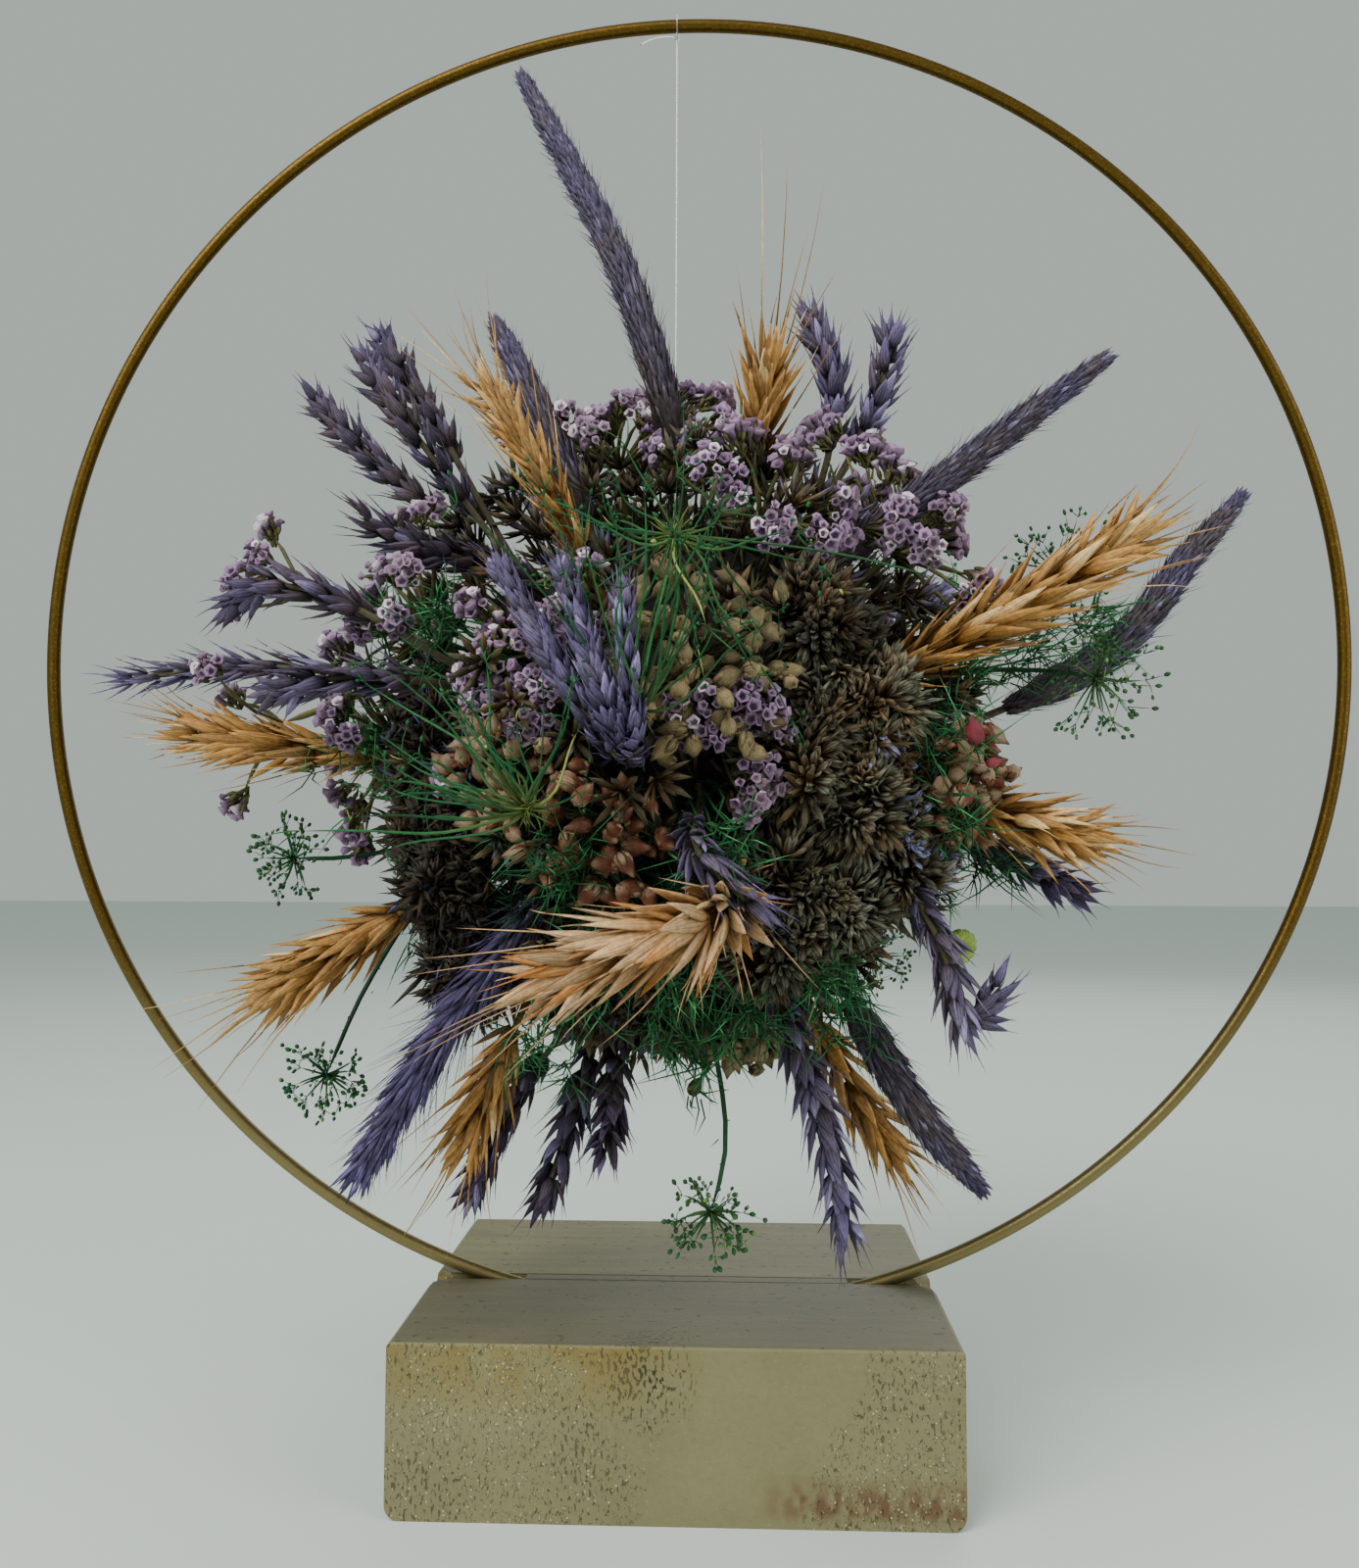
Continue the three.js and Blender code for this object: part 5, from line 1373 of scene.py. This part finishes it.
# %% Flakes, pits and specks
patchy = spread(noise(place, 75.0), 0.3, 0.7, -0.04, 0.05)
fleck = times(spread(plus(noise(place, 1400.0, 4.0, ALONG_GRAIN), patchy), 0.6, 0.66), rough)
spot = add(sponged, "ShaderNodeVectorMath", {0: place, 1: SPOT}, operation="DISTANCE").outputs["Value"]
pit = plus(noise(place, 1350.0, 4.0, (1.07, 1.0, 0.5)), times(patchy, -1.0))
pit = spread(plus(pit, spread(spot, 0.003, 0.014, 0.06, 0.0)), 0.6, 0.65)
pit = times(pit, plus(rough, spread(spot, 0.006, 0.012, 1.0, 0.0)))
few = spread(noise(place, 640.0, 2.0, (0.7, 1, 1)), 0.67, 0.7)
few = times(few, spread(top, 0.0, 1.0, 0.12, 1.0))
glint, glint_off = cells(place, 1500.0)
glint = times(spread(glint, 0.9, 0.94), spread(glint_off, 0.3, 0.2))
glint = times(glint, spread(rough, 0.0, 1.0, 0.1, 0.8))

# %% Colours of the front, the stain and the top
cloud = plus(times(noise(place, 35.0, 3.0), 0.7), times(noise(place, 900.0), 0.3))
paint = mix(1.0, given["Front"], spread(cloud, 0.3, 0.7, 0.84, 1.16), "MULTIPLY")
gild = times(spread(high, 0.02, 0.032), spread(east, 0.006, -0.006))
gild = times(gild, spread(drift, 0.35, 0.6, 0.2, 0.9))
paint = mix(gild, paint, given["Gilding"])
stain = times(
    spread(high, 0.0105, 0.006),
    spread(high, 0.001, 0.0032),
    spread(east, 0.014, 0.024),
    spread(noise(place, 420.0, 4.0, ALONG_GRAIN), 0.36, 0.56),
)
paint = mix(times(stain, 0.75), paint, given["Rust"])
# The top gets a darker colour than the front. It is darkest over its front half and paler towards the back:
# partly painted shade under the ball, with painted light from behind.
lid_paint_and_shade = mix(spread(north, -0.003, 0.005, 0.0, 0.95), given["Top"], given["Front"])
streaks = noise(place, 300.0, 3.0, (0.12, 1, 1))
lid_paint_and_shade = mix(1.0, lid_paint_and_shade, spread(streaks, 0.3, 0.7, 0.8, 1.14), "MULTIPLY")
lid_paint_and_shade = mix(1.0, lid_paint_and_shade, spread(cloud, 0.3, 0.7, 0.86, 1.12), "MULTIPLY")
paint = mix(top, paint, lid_paint_and_shade)
for share, strength, colour in ((fleck, 0.7, "Flake"), (pit, 0.62, "Pit"), (few, 0.7, "Pit")):
    paint = mix(times(share, strength), paint, given[colour])

# %% Seam, ridge and glints
seam = plus(sum_of("ABSOLUTE", north, 0.0), -0.0021, times(noise(place, 160.0, 3.0), 0.001), -0.0005)
seam = sum_of("ABSOLUTE", seam, 0.0)
paint = mix(times(spread(seam, 0.0004, 0.00012), top, 0.85), paint, given["Pit"])
ridge = times(spread(high, 0.0331, 0.0335), spread(high, 0.034, 0.0337))
paint = mix(times(ridge, 0.35), paint, given["Flake"])
link(mix(glint, paint, linear("d8cfa4")), made["Colour"])
sheen = spread(top, 0.0, 1.0, 0.58, 0.42)
link(plus(sheen, times(glint, -0.3), times(streaks, 0.08)), made["Roughness"])
relief = plus(fleck, times(pit, -0.7), times(few, -0.3))
link(plus(relief, times(noise(place, 2400.0), 0.12), times(streaks, 0.1)), made["Height"])


# %% Finishes of the solids
def dress(node, material):
    """The solid keeps its own shape and gets the material in the place of its own."""
    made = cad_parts[node]
    made.data.materials.clear()
    made.data.materials.append(material)


def painted(name, colours, bump):
    """The sponged group in its colours, a little metallic."""
    return coated(name, sponged, colours, (), bump, {"Metallic": 0.15})


# The second colour of each is the top's, darker than the front: partly painted shade.
dress("block", painted("block_gold_paint", "7d7753 5f5a40 a8a078 383214 7c6a30 5c3416", (0.95, 0.0006)))
dress("groove_filler", painted("groove_paint", "756e4f 544e36 a09874 302c16 706030 543018", (0.95, 0.0005)))

# The foam is near black: painted shade deep inside the ball.
foam, tree, shader = new_material("foam_painted_shade")
place = object_place(tree)
link(mix(noise(place, 60.0, 3.0), linear("0a0c08"), linear("161a10")), shader["Base Color"])
link(raised(cells(place, 900.0)[1], 0.5, 0.0004), shader["Normal"])
shader["Roughness"].default_value = 0.95
dress("foam_ball", foam)
print("finished the block, the filler and the foam")

# %% [markdown]
# Floor and light
# A plain pale table and a large soft light from the upper front left, with a weaker one on
# the right, a faint one behind and a pale room all round.

# %% Floor
floor_mesh = bpy.data.meshes.new("floor")
floor_mesh.from_pydata([(-3, -2, 0), (3, -2, 0), (3, 4, 0), (-3, 4, 0)], [], [(0, 1, 2, 3)])
floor = put_in_scene("floor", floor_mesh)
table, _, shader = new_material("pale_table")
shader["Base Color"].default_value = linear("d4ddd7")
shader["Roughness"].default_value = 0.6
floor_mesh.materials.append(table)
floor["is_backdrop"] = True

# %% Light
AIM = np.array([0, 0, 0.15])
world = bpy.data.worlds.new("pale_room")
bpy.context.scene.world = world
world.use_nodes = True
room = world.node_tree.nodes["Background"].inputs
room["Color"].default_value = linear("c6d0ca")
room["Strength"].default_value = 0.8


def soft_light(name, at, size, power):
    """A square area light that points from its place towards the ball."""
    lamp = put_in_scene(name, bpy.data.lights.new(name, "AREA"))
    lamp.data.size = size
    lamp.data.energy = power
    lamp.location = at
    lamp.rotation_euler = Vector(AIM - at).to_track_quat("-Z", "Y").to_euler()


soft_light("window", (-0.5, -0.7, 0.9), 0.7, 14)
soft_light("fill", (0.9, -0.5, 0.5), 0.8, 5)
soft_light("behind", (0.3, 0.9, 0.8), 0.9, 3)

# %% [markdown]
# Sizes at the end
# The box round all that is shown is printed in millimetres, with the number of triangles.

# %% Size and finish
low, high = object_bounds()
print("visual", [round(1000 * v) for v in (*low, *high)], "triangles", sum(totals.values()))
